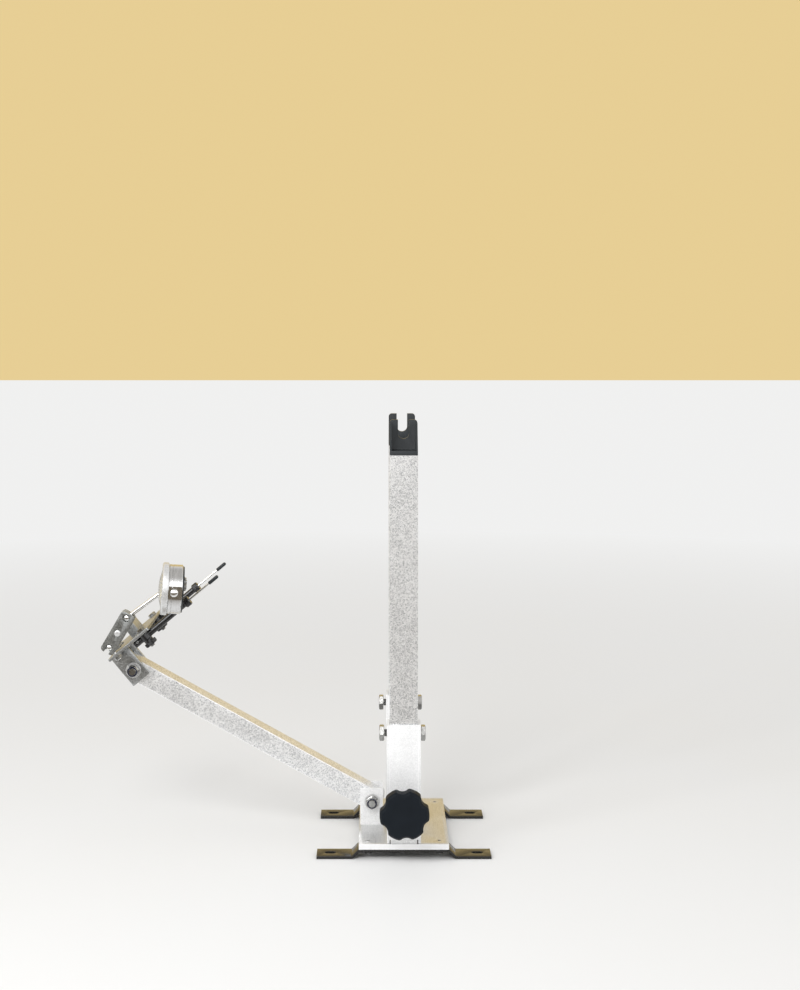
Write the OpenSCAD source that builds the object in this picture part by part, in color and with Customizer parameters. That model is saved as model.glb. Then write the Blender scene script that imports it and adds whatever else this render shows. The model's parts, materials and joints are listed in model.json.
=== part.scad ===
// Wheel truing stand. Two telescoping posts open and close together on a base plate, and a
// hinged arm carries a gauge head with two rim feelers and a dial indicator on a double ball joint.
// Frame: +X right, +Y away from the front, +Z up. Origin on the bench, midway between the foot slots.

/* [Base] */
// Width of the base plate, left to right
base_w = 96; // [90:1:120]
// Thickness of the base plate
base_t = 6; // [5:0.5:10]
// Diameter of the screws that hold the feet, the clevis and the bearing block
base_screw_d = 5; // [4:0.5:6]

/* [Feet] */
// Length of a foot bar
foot_len = 186; // [166:1:240]
// Width of a foot bar
foot_w = 25; // [20:1:32]
// Thickness of a foot bar
foot_t = 3; // [2:0.5:5]
// Height of the raised middle of a foot bar above the bench
foot_lift = 7; // [6.5:0.5:14]
// Radius of the bends, at the middle of the thickness
foot_bend_r = 4; // [3:0.5:6]
// Slope of the step between the raised middle and the ends
foot_slope = 45; // [35:1:60]
// Distance from the end of a foot bar to the centre of its slot
slot_inset = 14.5; // [10:0.5:20]
// Length of a bench slot, end to end
slot_len = 12; // [8:0.5:16]
// Width of a bench slot
slot_w = 6.6; // [4.5:0.1:8]

/* [Posts] */
// Width of a mast tube
mast_w = 30; // [26:1:36]
// Depth of a mast tube
mast_d = 20; // [18:1:28]
// Wall of a mast tube
mast_wall = 2; // [1.5:0.5:3]
// Length of a mast tube
mast_len = 344.5; // [250:0.5:400]
// Height of the lower end of a mast above the base plate
mast_start = 68; // [62:1:90]
// Room round a mast in its sleeve
mast_fit = 0.3; // [0.2:0.05:0.5]
// Wall of a sleeve
sleeve_wall = 2.7; // [2:0.1:4]
// Height of the top of a sleeve above the base plate
sleeve_top_rise = 126; // [110:1:160]
// Diameter of the clamp bolts in a sleeve
clamp_bolt_d = 8; // [6:1:10]
// Distance from the top of a sleeve to its clamp bolts
clamp_drop = 11; // [9:0.5:20]
// How far the left clamp bolt stands backed off
clamp_back_off = 3; // [1:0.5:5]

/* [Dropouts] */
// Width between the two dropouts, for a front hub
hub_width = 100; // [94:1:112]
// How far a dropout reaches in from its mast
drop_reach = 8; // [5:0.5:12]
// Height of a dropout above its mast
drop_h = 36.5; // [32:0.5:44]
// Height of the axle seat above the mast
axle_rise = 22; // [18:0.5:26]
// Width of the open slot for the axle
axle_slot_w = 12; // [9:0.5:14]
// Thickness of the slotted plate
drop_plate_t = 6; // [4:0.5:8]
// Thickness of the collar that sits on the mast
drop_collar_t = 4.5; // [3:0.5:6]
// Width of the side ribs
drop_rib_w = 2.2; // [1.5:0.1:3]
// Depth of the side ribs at their top
drop_rib_top = 5; // [3:0.5:7]
// Distance of the side ribs from the outer edge of the collar
drop_rib_inset = 1; // [0.5:0.5:3]
// Corner radius of the slotted plate
drop_corner_r = 3.5; // [2:0.5:5]
// Length of the plug inside the mast
drop_plug_len = 16; // [10:1:30]

/* [Width screw] */
// Height of the screw above the base plate
screw_rise = 41; // [38:0.5:44]
// Diameter of the screw
screw_d = 10; // [8:0.5:12]
// How far each post moves out
post_travel = 20; // [10:1:26]
// Diameter of the star knob over its lobes
knob_d = 52; // [44:1:60]
// Thickness of the star knob
knob_t = 15; // [12:0.5:20]
// Number of lobes
knob_lobes = 6; // [5:1:8]
// Radius of the hollows between the lobes
knob_hollow_r = 7; // [5:0.5:9]
// Depth of the hollows below the outer circle
knob_hollow_depth = 4; // [2:0.25:5]
// Radius of the corners beside the hollows
knob_corner_r = 2.5; // [1:0.25:3]
// Width of the bearing block
bearing_w = 24; // [20:1:28]
// Depth of the bearing block
bearing_d = 16; // [14:1:22]
// Thickness of the thrust collars
collar_t = 5; // [4:0.5:7]
// Diameter of the thrust collars
collar_d = 20; // [16:0.5:24]

/* [Shoes] */
// Width of a sliding shoe
shoe_w = 28; // [22:1:29]
// Thickness of a sliding shoe
shoe_t = 4; // [3:0.5:6]
// Width of the tongue under a shoe
tongue_w = 10; // [6:0.5:14]
// Depth of the tongue in the base plate
tongue_h = 2; // [1.5:0.25:2.5]
// Running gap between a shoe and the base plate
shoe_gap = 0.3; // [0.2:0.05:0.5]

/* [Arm] */
// Distance between the two pivots of the arm
arm_len = 300; // [240:1:340]
// Height of the arm tube
arm_h = 22.5; // [18:0.5:26]
// Depth of the arm tube
arm_d = 25; // [20:1:30]
// Wall of the arm tube
arm_wall = 2; // [1.5:0.5:3]
// Length of the arm past each pivot
arm_end = 10; // [8:0.5:12]
// Slope of the arm as shown
arm_angle = 28.8; // [20:0.2:40]
// Diameter of the pivot bolts
pivot_d = 8; // [6:1:9]
// Height of the lower pivot above the base plate
pivot_rise = 26; // [23:0.5:34]

/* [Brackets] */
// Thickness of the clevis and of the head bracket
bracket_t = 3; // [2:0.5:4]
// Width of the clevis ears
clevis_w = 25; // [20:0.5:28]
// Height of the clevis
clevis_h = 40; // [36:0.5:46]
// Distance from the clevis to the left edge of the base plate
clevis_inset = 1; // [0:0.5:2]
// Room between an arm wall and an ear
ear_gap = 0.3; // [0.2:0.05:0.5]
// Width of the head bracket
head_w = 23; // [20:0.5:28]
// Distance from the head pivot to the inside of the bracket's web
head_rise = 22.5; // [20:0.5:30]
// Length of the bracket's ears past the head pivot
head_drop = 14; // [10:0.5:18]
// Slope of the gauge bar as shown
head_tilt = 40; // [30:0.5:50]

/* [Gauge bar] */
// Length of the gauge bar, towards the rim
bar_len = 55.5; // [50:0.5:70]
// Width of the gauge bar, across the wheel
bar_w = 104; // [100:1:124]
// Thickness of the gauge bar
bar_t = 3; // [2:0.5:5]
// Start of the gauge bar behind the head pivot
bar_back = 5.5; // [4:0.5:9]
// Distance between the two feeler pivots
feeler_span = 90; // [84:1:96]
// Distance of the feeler pivots past the head pivot
feeler_pivot_u = 41; // [38:0.5:44]
// Diameter of the feeler pivot bolts
feeler_bolt_d = 5; // [4:0.5:6]
// Length of the block on the gauge bar
block_len = 11; // [8:0.5:14]
// Height of the block on the gauge bar
block_h = 14.5; // [10:0.5:18]
// Width of the block on the gauge bar
block_w = 30; // [20:1:36]
// Start of the block past the head pivot
block_u = 21.5; // [19:0.5:24]

/* [Feelers] */
// Diameter of a feeler rod
feeler_d = 7; // [6:0.5:8]
// Length of a feeler rod behind its pivot
feeler_tail = 15; // [10:0.5:20]
// Length of a feeler rod in front of its pivot
feeler_reach = 55; // [45:0.5:80]
// Diameter of the boss round the feeler pivot
feeler_boss_d = 12; // [10:0.5:14]
// Height of the boss round the feeler pivot
feeler_boss_h = 7.4; // [7:0.2:9]
// Diameter of the knurled collar
feeler_collar_d = 11; // [9:0.5:13]
// Length of the knurled collar
feeler_collar_len = 7; // [5:0.5:10]
// Diameter of a pointer
pointer_d = 2.5; // [2:0.1:3]
// Length of a pointer that shows in front of its collar
pointer_reach = 35; // [28:0.5:44]
// Length of a pointer inside its feeler rod
pointer_tail = 30; // [24:0.5:31]
// How far a pointer slides in
pointer_in = 18; // [10:1:20]
// Diameter of a pointer tip
tip_d = 3.8; // [3.4:0.2:5]
// Length of a pointer tip
tip_len = 13; // [9:0.5:16]
// Diameter of a thumb nut
thumb_d = 14; // [11:0.5:16]
// Thickness of a thumb nut
thumb_t = 7; // [5:0.5:9]

/* [Ball joint] */
// Diameter of the two balls
ball_d = 10; // [9:0.5:12]
// Distance of the lower ball past the head pivot
ball_u = 2.9; // [2:0.1:4]
// Height of the lower ball above the gauge bar
ball_rise = 9.2; // [8.8:0.1:12]
// Distance between the two balls
link_len = 37.2; // [32:0.2:44]
// Slope of the link against the gauge bar
link_tilt = 19.6; // [10:0.2:40]
// Width of a link plate
link_w = 16; // [14:0.5:17]
// Thickness of a link plate
link_t = 3; // [2.5:0.25:4]
// Space between the two link plates
link_gap = 5.4; // [5.2:0.1:6]
// Length of a link plate past each ball
link_end = 6; // [5.5:0.5:7]
// Diameter of the windows over the balls
link_window_d = 8; // [7:0.25:8.5]
// Distance of the link in front of the arm's middle plane
link_y = 42; // [38:0.5:45]
// Diameter of the neck and the rod on the balls
neck_d = 4.5; // [4:0.1:4.8]
// Distance from the upper ball to the dial stem
rod_len = 62; // [54:0.5:76]
// Slope of the rod as shown
rod_slope = 36; // [28:0.5:60]

/* [Dial] */
// Diameter of the dial case
case_d = 52; // [46:0.5:56]
// Thickness of the dial case
case_t = 14.5; // [13:0.5:18]
// Diameter of the bezel
bezel_d = 55.5; // [51:0.5:60]
// Depth of the bezel
bezel_t = 6.7; // [6:0.1:8]
// Wall of the bezel round its spigot
bezel_wall = 3.7; // [3:0.1:4.5]
// Height of the crystal's dome
dome_h = 4.7; // [3:0.1:6]
// Thickness of the crystal
crystal_t = 1.5; // [1:0.1:2]
// Diameter of the stem
stem_d = 8; // [7:0.5:9.5]
// Length of the stem past the case
stem_len = 21.5; // [18:0.5:28]
// Distance from the case to the middle of the stem clamp
stem_grip = 7.3; // [6.5:0.1:10]
// Diameter of the plunger
plunger_d = 5; // [4:0.1:5]
// Length of the plunger and contact point past the stem
plunger_out = 14; // [12:0.5:24]
// Stroke of the plunger
plunger_stroke = 10; // [5:0.5:11]
// Turn of the dial towards the front as shown
dial_yaw = 8; // [0:0.5:20]
// Turn of the dial's face upwards as shown
dial_pitch = 4; // [-10:0.5:10]
// Outside diameter of the stem clamp
stem_clamp_d = 16; // [13:0.5:20]
// Width of the stem clamp along the stem
stem_clamp_w = 8; // [6:0.5:9]

/* [Hidden] */
$fn = 48;
// Radial room of a turning fit and of a fixed one
turn_fit = 0.05;
fixed_fit = 0.1;
// Fasteners, as shares of their thread
washer_t = 1.6;
washer_d = 2.1 * pivot_d;
pivot_af = 1.625 * pivot_d;
pivot_head_t = 0.66 * pivot_d;
pivot_nut_t = pivot_d;
pivot_bolt_end = 2;
clamp_af = 1.9 * clamp_bolt_d;
clamp_head_t = 0.65 * clamp_bolt_d;
base_screw_head_d = 2 * base_screw_d;
base_screw_head_t = 0.5 * base_screw_d;
base_nut_af = 1.6 * base_screw_d;
base_nut_t = 0.8 * base_screw_d;

// Heights of the base
base_z = foot_lift + foot_t;
base_top = base_z + base_t;
shoe_z = base_top + shoe_gap;
shoe_top = shoe_z + shoe_t;
screw_z = base_top + screw_rise;
mast_z = base_top + mast_start;
mast_top = mast_z + mast_len;
sleeve_z = base_top + 2 * shoe_gap;
sleeve_top = base_top + sleeve_top_rise;
clamp_z = sleeve_top - clamp_drop;
nut_cover = 6;
nut_block_top = screw_z + screw_d / 2 + nut_cover;

// Places of the posts across the stand
sleeve_in_w = mast_w + 2 * mast_fit;
sleeve_in_d = mast_d + 2 * mast_fit;
sleeve_w = sleeve_in_w + 2 * sleeve_wall;
sleeve_d = sleeve_in_d + 2 * sleeve_wall;
post_y = hub_width / 2 + drop_reach + mast_d / 2;
post_face = post_y + sleeve_d / 2;
base_d = 2 * post_face;
foot_y = post_face - foot_w / 2;
slot_x = foot_len / 2 - slot_inset;
foot_screw_x = base_w / 2 - 2 * base_screw_d;
foot_bend_inset = 1.5;
// The tongue stops short of the edge so that it stays in its blind groove when the post is out
end_room = 1;
shoe_back = 10;
tongue_short = 31;
shoe_start = bearing_d / 2 + collar_t + shoe_back;
tongue_end = post_face - tongue_short;
groove_end = tongue_end + post_travel + end_room;

// Places along the width screw
collar_gap = 0.2;
knob_neck = 3;
knob_back = post_face + post_travel + end_room + knob_neck;
knob_skin = 4;
knob_bore = knob_t - knob_skin;
knob_edge = 2.5;
knob_turn = 34;
screw_front = knob_back + knob_bore;
screw_rear = post_face + post_travel + 3 * end_room;
bearing_cover = 8;
bearing_top = screw_z + screw_d / 2 + bearing_cover;
bearing_screw_x = bearing_w / 2 - 1.1 * base_screw_d;

// Clevis and arm
bracket_out = arm_d + 2 * (ear_gap + bracket_t);
clevis_x = -base_w / 2 + clevis_inset + clevis_w / 2;
pivot_offset = 0.5;
arm_pivot = [clevis_x + pivot_offset, 0, base_top + pivot_rise];
head_pivot = arm_pivot + arm_len * [-cos(arm_angle), 0, sin(arm_angle)];
clevis_screw_x = clevis_w / 2 - base_screw_d;

// Gauge head, along the bar and above the pivot
bar_low = head_rise + bracket_t;
bar_top = bar_low + bar_t;
feeler_gap = 0.3;
feeler_v = bar_low - feeler_gap - feeler_boss_h / 2;
feeler_end_u = feeler_pivot_u + feeler_reach;
pointer_u = feeler_end_u + feeler_collar_len + pointer_reach;
thumb_v = feeler_v - feeler_boss_h / 2 - feeler_gap;
bar_corner_r = 2;
bar_screw_d = 4;
bar_screw_y = arm_d / 2 - bar_screw_d;
bar_screw_u = bar_back / 2 - 1;
block_screw_y = block_w / 2 - bar_screw_d;
ball_v = bar_top + ball_rise;
stud_nut_t = 4;
link_screw_d = 4;
link_corner_r = 4;
link_head_t = 1.5;

// Dial, along its face axis; the stem lies on the axis of the case
case_front = -6;
case_back = case_front + case_t;
cover_t = 1.6;
spigot_t = 2.6;
part_gap = 0.3;
bezel_back = case_front - part_gap;
bezel_front = bezel_back - bezel_t;
bezel_bore_d = bezel_d - 2 * bezel_wall;
bezel_lip_t = 1.5;
bezel_lip_w = 1.5;
bezel_step = 1;
face_t = 0.5;
face_x = case_front - spigot_t - part_gap;
arbor_d = 2;
counter_x = face_x - face_t - part_gap;
hand_t = 0.4;
hand_gap = 0.4;
needle_x = counter_x - hand_t - hand_gap;
counter_offset = 0.2 * case_d;
crystal_d = bezel_bore_d - 2 * fixed_fit;
crystal_flange = 2.5;
dome_x = bezel_front + bezel_lip_t;
dome_r = (pow(crystal_d / 2, 2) + dome_h * dome_h) / (2 * dome_h);
dial_y = -stem_grip - case_d / 2;
stem_end = stem_len - stem_grip;
plunger_tip = stem_end + plunger_out;
contact_len = 7;
contact_d = 0.7 * plunger_d;
contact_ball_d = 3;
stem_boss_d = stem_d + 3;
// Socket of the stem clamp, round the end of the rod
socket_d = neck_d + 3;
socket_len = 5;
// How far shapes of one body run into each other
bite = 0.5;
rod_end = rod_len - stem_clamp_d / 2 - bite;
// Flat on the case, with the cap over the inner end of the plunger
flat_h = 13.8;
cap_d = 8;
cap_len = 3;
cap_dome_r = 6;
cap_seat = dial_y - sqrt(case_d * case_d - flat_h * flat_h) / 2;
// Ear of the stem clamp, slit and pinched by a screw
ear_out = 6.5;
ear_t = 9;
ear_slit = 1;
ear_hole_d = 3.2;
plate_d = 0.58 * case_d;

// Points of an arc round a centre, in a profile
function arc_points(centre, r, from, to, n = 6) =
    [for (i = [0 : n]) let (a = from + (to - from) * i / n) centre + r * [cos(a), sin(a)]];

// A list without its first and last entries
function inside(list) = [for (i = [1 : len(list) - 2]) list[i]];

// A point of a profile, turned round the origin
function turned(p, a) = [p[0] * cos(a) - p[1] * sin(a), p[0] * sin(a) + p[1] * cos(a)];

// Extrudes a profile drawn in X and Z from one Y to another
module slab_y(y0, y1) {
    translate([0, y1, 0]) rotate([90, 0, 0]) linear_extrude(y1 - y0) children();
}

module rod_x(d, x0, x1) {
    translate([x0, 0, 0]) rotate([0, 90, 0]) cylinder(d = d, h = x1 - x0);
}

module rod_y(d, y0, y1) {
    translate([0, y0, 0]) rotate([-90, 0, 0]) cylinder(d = d, h = y1 - y0);
}

module hex_y(af, y0, y1) {
    translate([0, y0, 0]) rotate([-90, 30, 0]) cylinder(d = af / cos(30), h = y1 - y0, $fn = 6);
}

module hex_x(af, x0, x1) {
    translate([x0, 0, 0]) rotate([0, 90, 0]) cylinder(d = af / cos(30), h = x1 - x0, $fn = 6);
}

module rounded_plate(w, d, r) {
    square([w - 2 * r, d], center = true);
    square([w, d - 2 * r], center = true);
    for (sx = [-1, 1], sy = [-1, 1]) translate([sx * (w / 2 - r), sy * (d / 2 - r)]) circle(r);
}

// The front post is the mirror image of the rear one
module front_side() {
    mirror([0, 1, 0]) children();
}

module at_arm() {
    translate(arm_pivot) rotate([0, arm_angle, 0]) children();
}

module at_head() {
    translate(head_pivot) rotate([0, -head_tilt, 0]) children();
}

// Along the link, from the lower ball to the upper one
module at_link() {
    at_head() translate([ball_u, -link_y, ball_v]) rotate([0, -link_tilt, 0]) children();
}

// Along the rod, from the upper ball to the dial stem
module at_rod() {
    at_link() translate([link_len, 0, 0]) rotate([0, head_tilt + link_tilt - rod_slope, 0]) children();
}

// On the stem clamp, with Y along the stem and the dial's face towards -X
module at_dial() {
    at_rod() translate([rod_len, 0, 0]) rotate([0, rod_slope, 0])
        rotate([0, 0, dial_yaw]) rotate([0, dial_pitch, 0]) children();
}

module base_plate() {
    color("silver") difference() {
        translate([-base_w / 2, -base_d / 2, base_z]) cube([base_w, base_d, base_t]);
        foot_screw_places() screw_hole();
        clevis_screw_places() cylinder(d = base_screw_d + 2 * fixed_fit, h = base_top + 1);
        bearing_screw_places() cylinder(d = base_screw_d + 2 * fixed_fit, h = base_top + 1);
        for (s = [0, 1]) mirror([0, s, 0]) shoe_groove();
    }
}

module screw_hole() {
    cylinder(d = base_screw_d + 2 * fixed_fit, h = base_top + 1);
    translate([0, 0, base_top - base_screw_head_t - fixed_fit])
        cylinder(d1 = base_screw_d, d2 = base_screw_head_d + 2 * fixed_fit,
                 h = base_screw_head_t + 2 * fixed_fit);
}

module shoe_groove() {
    translate([-tongue_w / 2 - fixed_fit, shoe_start - 1, base_top - tongue_h])
        cube([tongue_w + 2 * fixed_fit, groove_end - shoe_start + 1, tongue_h + 1]);
}

module foot_screw_places() {
    for (sx = [-1, 1], sy = [-1, 1]) translate([sx * foot_screw_x, sy * foot_y, 0]) children();
}

module clevis_screw_places() {
    for (sx = [-1, 1]) translate([clevis_x + sx * clevis_screw_x, 0, 0]) children();
}

module bearing_screw_places() {
    for (sx = [-1, 1]) translate([sx * bearing_screw_x, 0, 0]) children();
}

// Side view of a foot bar: flat ends on the bench and a raised middle, with round bends
module foot_profile() {
    rise_run = 2 * foot_bend_r * (1 - cos(foot_slope));
    slope_len = (foot_lift - rise_run) / sin(foot_slope);
    bend_run = 2 * foot_bend_r * sin(foot_slope) + slope_len * cos(foot_slope);
    top_bend = [base_w / 2 - foot_bend_inset, foot_lift + foot_t / 2 - foot_bend_r];
    low_bend = [top_bend[0] + bend_run, foot_t / 2 + foot_bend_r];
    outer = foot_bend_r + foot_t / 2;
    inner = foot_bend_r - foot_t / 2;
    right = concat(
        arc_points(top_bend, outer, 90, 90 - foot_slope),
        arc_points(low_bend, inner, 270 - foot_slope, 270),
        [[foot_len / 2, foot_t], [foot_len / 2, 0]],
        arc_points(low_bend, outer, 270, 270 - foot_slope),
        arc_points(top_bend, inner, 90 - foot_slope, 90)
    );
    left = [for (i = [len(right) - 1 : -1 : 0]) [-right[i][0], right[i][1]]];
    polygon(concat(right, left));
}

module bench_slot() {
    half = slot_len / 2 - slot_w / 2;
    for (s = [-1, 1]) translate([s * half, 0, -1]) cylinder(d = slot_w, h = foot_t + 2);
    translate([-half, -slot_w / 2, -1]) cube([2 * half, slot_w, foot_t + 2]);
}

module foot_bar() {
    difference() {
        slab_y(-foot_w / 2, foot_w / 2) foot_profile();
        for (s = [-1, 1]) {
            translate([s * slot_x, 0, 0]) bench_slot();
            translate([s * foot_screw_x, 0, 0]) cylinder(d = base_screw_d + 2 * fixed_fit, h = base_z + 1);
        }
    }
}

module front_foot_bar() {
    color([0.07, 0.065, 0.06]) translate([0, -foot_y, 0]) foot_bar();
}

module rear_foot_bar() {
    color([0.07, 0.065, 0.06]) translate([0, foot_y, 0]) foot_bar();
}

module countersunk_screw(end_z, top_z) {
    translate([0, 0, end_z]) cylinder(d = base_screw_d, h = top_z - base_screw_head_t - end_z + bite);
    translate([0, 0, top_z - base_screw_head_t])
        cylinder(d1 = base_screw_d, d2 = base_screw_head_d, h = base_screw_head_t);
}

// Countersunk screws down into the feet, pan heads in the clevis and up into the bearing block
module base_screws() {
    head_t = 0.5 * base_screw_d;
    color("gainsboro") {
        foot_screw_places() countersunk_screw(foot_lift - base_nut_t - 1, base_top);
        clevis_screw_places() {
            translate([0, 0, base_z]) cylinder(d = base_screw_d, h = base_t + bracket_t + bite);
            translate([0, 0, base_top + bracket_t]) cylinder(d = 1.6 * base_screw_d, h = head_t);
        }
        bearing_screw_places() {
            translate([0, 0, base_z - bite]) cylinder(d = base_screw_d, h = base_t + 2.5 * base_screw_d);
            translate([0, 0, base_z - head_t]) cylinder(d = 1.6 * base_screw_d, h = head_t);
        }
    }
}

module foot_nuts() {
    color("gainsboro") foot_screw_places() difference() {
        translate([0, 0, foot_lift - base_nut_t])
            cylinder(d = base_nut_af / cos(30), h = base_nut_t, $fn = 6);
        cylinder(d = base_screw_d + 2 * turn_fit, h = base_z);
    }
}

// Square U section, open upwards, standing on Z = 0
module u_section(out_w, h, t) {
    difference() {
        translate([-out_w / 2, 0]) square([out_w, h]);
        translate([-out_w / 2 + t, t]) square([out_w - 2 * t, h]);
    }
}

module arm_clevis() {
    color("silver") difference() {
        translate([clevis_x - clevis_w / 2, 0, base_top]) rotate([90, 0, 90])
            linear_extrude(clevis_w) u_section(bracket_out, clevis_h, bracket_t);
        translate(arm_pivot) rod_y(pivot_d + 2 * turn_fit, -bracket_out, bracket_out);
        clevis_screw_places() cylinder(d = base_screw_d + 2 * fixed_fit, h = base_top + 2 * bracket_t);
    }
}

// Pivot hardware through a bracket, along Y, with the nut at the front
module pivot_bolt() {
    seat = bracket_out / 2 + washer_t;
    rod_y(pivot_d, -seat - pivot_nut_t - pivot_bolt_end, seat + bite);
    hex_y(pivot_af, seat, seat + pivot_head_t);
}

module pivot_washers() {
    for (s = [0, 1]) mirror([0, s, 0]) difference() {
        rod_y(washer_d, bracket_out / 2, bracket_out / 2 + washer_t);
        rod_y(pivot_d + 2 * fixed_fit, bracket_out / 2 - 1, bracket_out / 2 + washer_t + 1);
    }
}

module pivot_nut() {
    seat = bracket_out / 2 + washer_t;
    difference() {
        union() {
            hex_y(pivot_af, -seat - 0.75 * pivot_nut_t, -seat);
            rod_y(0.92 * pivot_af, -seat - pivot_nut_t, -seat);
        }
        rod_y(pivot_d + 2 * turn_fit, -seat - pivot_nut_t - 1, -seat + 1);
    }
}

module arm_pivot_bolt() {
    color("gainsboro") translate(arm_pivot) pivot_bolt();
}

module arm_pivot_washers() {
    color("lightgray") translate(arm_pivot) pivot_washers();
}

module arm_pivot_nut() {
    color("gainsboro") translate(arm_pivot) pivot_nut();
}

module bearing_block() {
    color("silver") difference() {
        translate([-bearing_w / 2, -bearing_d / 2, base_top])
            cube([bearing_w, bearing_d, bearing_top - base_top]);
        translate([0, 0, screw_z]) rod_y(screw_d + 2 * turn_fit, -bearing_d, bearing_d);
        bearing_screw_places() cylinder(d = base_screw_d + 2 * fixed_fit, h = base_top + 3 * base_screw_d);
    }
}

// The thrust collars and the end collar are fixed to the screw, the block and posts turn on it
module lead_screw() {
    color("lightgray") translate([0, 0, screw_z]) rod_y(screw_d, -screw_front, screw_rear + collar_t);
}

module thrust_collars() {
    start = bearing_d / 2 + collar_gap;
    color("dimgray") translate([0, 0, screw_z]) difference() {
        union() {
            for (s = [0, 1]) mirror([0, s, 0]) rod_y(collar_d, start, start + collar_t);
            rod_y(collar_d, screw_rear, screw_rear + collar_t);
        }
        rod_y(screw_d + 2 * turn_fit, -base_d, base_d);
    }
}

// Star outline: a circle with round hollows and rounded corners beside them
function knob_points(hollow_n = 10, corner_n = 5, lobe_n = 4) =
    let (step = 360 / knob_lobes, inner = knob_d / 2 - knob_corner_r, reach = knob_hollow_r + knob_corner_r)
    let (far = knob_d / 2 - knob_hollow_depth + knob_hollow_r)
    let (half = acos((inner * inner + far * far - reach * reach) / (2 * inner * far)))
    let (corner = inner * [cos(half), sin(half)], meet = atan2(corner[1], far - corner[0]))
    let (before = arc_points([corner[0], -corner[1]], knob_corner_r, -half, meet, corner_n))
    let (hollow = arc_points([far, 0], knob_hollow_r, 180 + meet, 180 - meet, hollow_n))
    let (after = arc_points(corner, knob_corner_r, -meet, half, corner_n))
    let (lobe = arc_points([0, 0], knob_d / 2, half, step - half, lobe_n))
    let (run = concat(before, inside(hollow), after, inside(lobe)))
    [for (i = [0 : knob_lobes - 1], p = run) turned(p, i * step)];

// Half section of the knob: chamfered edges that run out past the lobes
module knob_section() {
    face_r = knob_d / 2 - knob_edge;
    out = 1.5 * knob_edge;
    rim = [[face_r, 0], [face_r + out, out], [face_r + out, knob_t - out], [face_r, knob_t]];
    polygon(concat([[0, 0]], rim, [[0, knob_t]]));
}

module star_knob() {
    color([0.06, 0.06, 0.065]) translate([0, -knob_back, screw_z]) rotate([90, 0, 0]) difference() {
        union() {
            intersection() {
                rotate(knob_turn) linear_extrude(knob_t) polygon(knob_points());
                rotate_extrude() knob_section();
            }
            translate([0, 0, -knob_neck]) cylinder(d = collar_d, h = knob_neck + 1);
        }
        translate([0, 0, -knob_neck - 1])
            cylinder(d = screw_d + 2 * turn_fit, h = knob_neck + 1 + knob_bore);
    }
}

module shoe() {
    translate([-shoe_w / 2, shoe_start, shoe_z]) cube([shoe_w, post_face - shoe_start, shoe_t]);
    translate([-tongue_w / 2, shoe_start, base_top - tongue_h + fixed_fit])
        cube([tongue_w, tongue_end - shoe_start, tongue_h + shoe_gap]);
}

module screw_nut() {
    difference() {
        translate([-sleeve_in_w / 2, post_y - sleeve_in_d / 2, shoe_top])
            cube([sleeve_in_w, sleeve_in_d, nut_block_top - shoe_top]);
        translate([0, 0, screw_z]) rod_y(screw_d + 2 * turn_fit, 0, base_d);
    }
}

// Square tube over the mast, notched over the shoe and cleared for the screw
module sleeve() {
    difference() {
        translate([0, post_y, sleeve_z]) linear_extrude(sleeve_top - sleeve_z) difference() {
            square([sleeve_w, sleeve_d], center = true);
            square([sleeve_in_w, sleeve_in_d], center = true);
        }
        translate([-shoe_w / 2 - fixed_fit, 0, 0]) cube([shoe_w + 2 * fixed_fit, base_d, shoe_top]);
        translate([0, 0, screw_z]) rod_y(screw_d + 2, 0, base_d);
        translate([0, post_y, clamp_z]) rod_x(clamp_bolt_d + 2 * turn_fit, -sleeve_w, sleeve_w);
    }
}

module clamp_bolts() {
    tip = sleeve_in_w / 2;
    for (side = [[-1, clamp_back_off], [1, 0]]) {
        seat = sleeve_w / 2 + side[1];
        translate([0, post_y, clamp_z]) mirror([side[0] < 0 ? 1 : 0, 0, 0]) {
            rod_x(clamp_bolt_d, tip, seat + bite);
            hex_x(clamp_af, seat, seat + clamp_head_t);
        }
    }
}

module mast() {
    translate([0, post_y, mast_z]) linear_extrude(mast_len) difference() {
        square([mast_w, mast_d], center = true);
        square([mast_w - 2 * mast_wall, mast_d - 2 * mast_wall], center = true);
    }
}

// Outline of the slotted plate above the collar
module dropout_outline() {
    r = drop_corner_r;
    difference() {
        union() {
            translate([-mast_w / 2, 0]) square([mast_w, drop_h - r]);
            translate([-mast_w / 2 + r, 0]) square([mast_w - 2 * r, drop_h]);
            for (s = [-1, 1]) translate([s * (mast_w / 2 - r), drop_h - r]) circle(r);
        }
        translate([0, axle_rise]) circle(d = axle_slot_w);
        translate([-axle_slot_w / 2, axle_rise]) square([axle_slot_w, drop_h]);
    }
}

// Side rib: a web from the slotted plate down to the outer edge of the collar
module dropout_rib(face, back) {
    rib_h = drop_h - drop_corner_r;
    rotate([90, 0, 90]) linear_extrude(drop_rib_w)
        polygon([
            [face, drop_collar_t], [back, drop_collar_t],
            [face + drop_rib_top, rib_h], [face, rib_h]
        ]);
}

module dropout() {
    inner = hub_width / 2;
    outer = post_y + mast_d / 2;
    face = inner + drop_plate_t;
    plug = mast_wall + fixed_fit;
    translate([0, 0, mast_top]) {
        slab_y(inner, face) dropout_outline();
        translate([-mast_w / 2, inner, 0]) cube([mast_w, outer - inner, drop_collar_t]);
        for (s = [0, 1]) mirror([s, 0, 0])
            translate([mast_w / 2 - drop_rib_w, 0, 0]) dropout_rib(face - bite, outer - drop_rib_inset);
        translate([-mast_w / 2 + plug, post_y - mast_d / 2 + plug, -drop_plug_len])
            cube([mast_w - 2 * plug, mast_d - 2 * plug, drop_plug_len + 1]);
    }
}

module front_shoe() {
    color("silver") front_side() shoe();
}

module rear_shoe() {
    color("silver") shoe();
}

module front_screw_nut() {
    color("darkkhaki") front_side() screw_nut();
}

module rear_screw_nut() {
    color("darkkhaki") screw_nut();
}

module front_sleeve() {
    color("gainsboro") front_side() sleeve();
}

module rear_sleeve() {
    color("gainsboro") sleeve();
}

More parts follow.
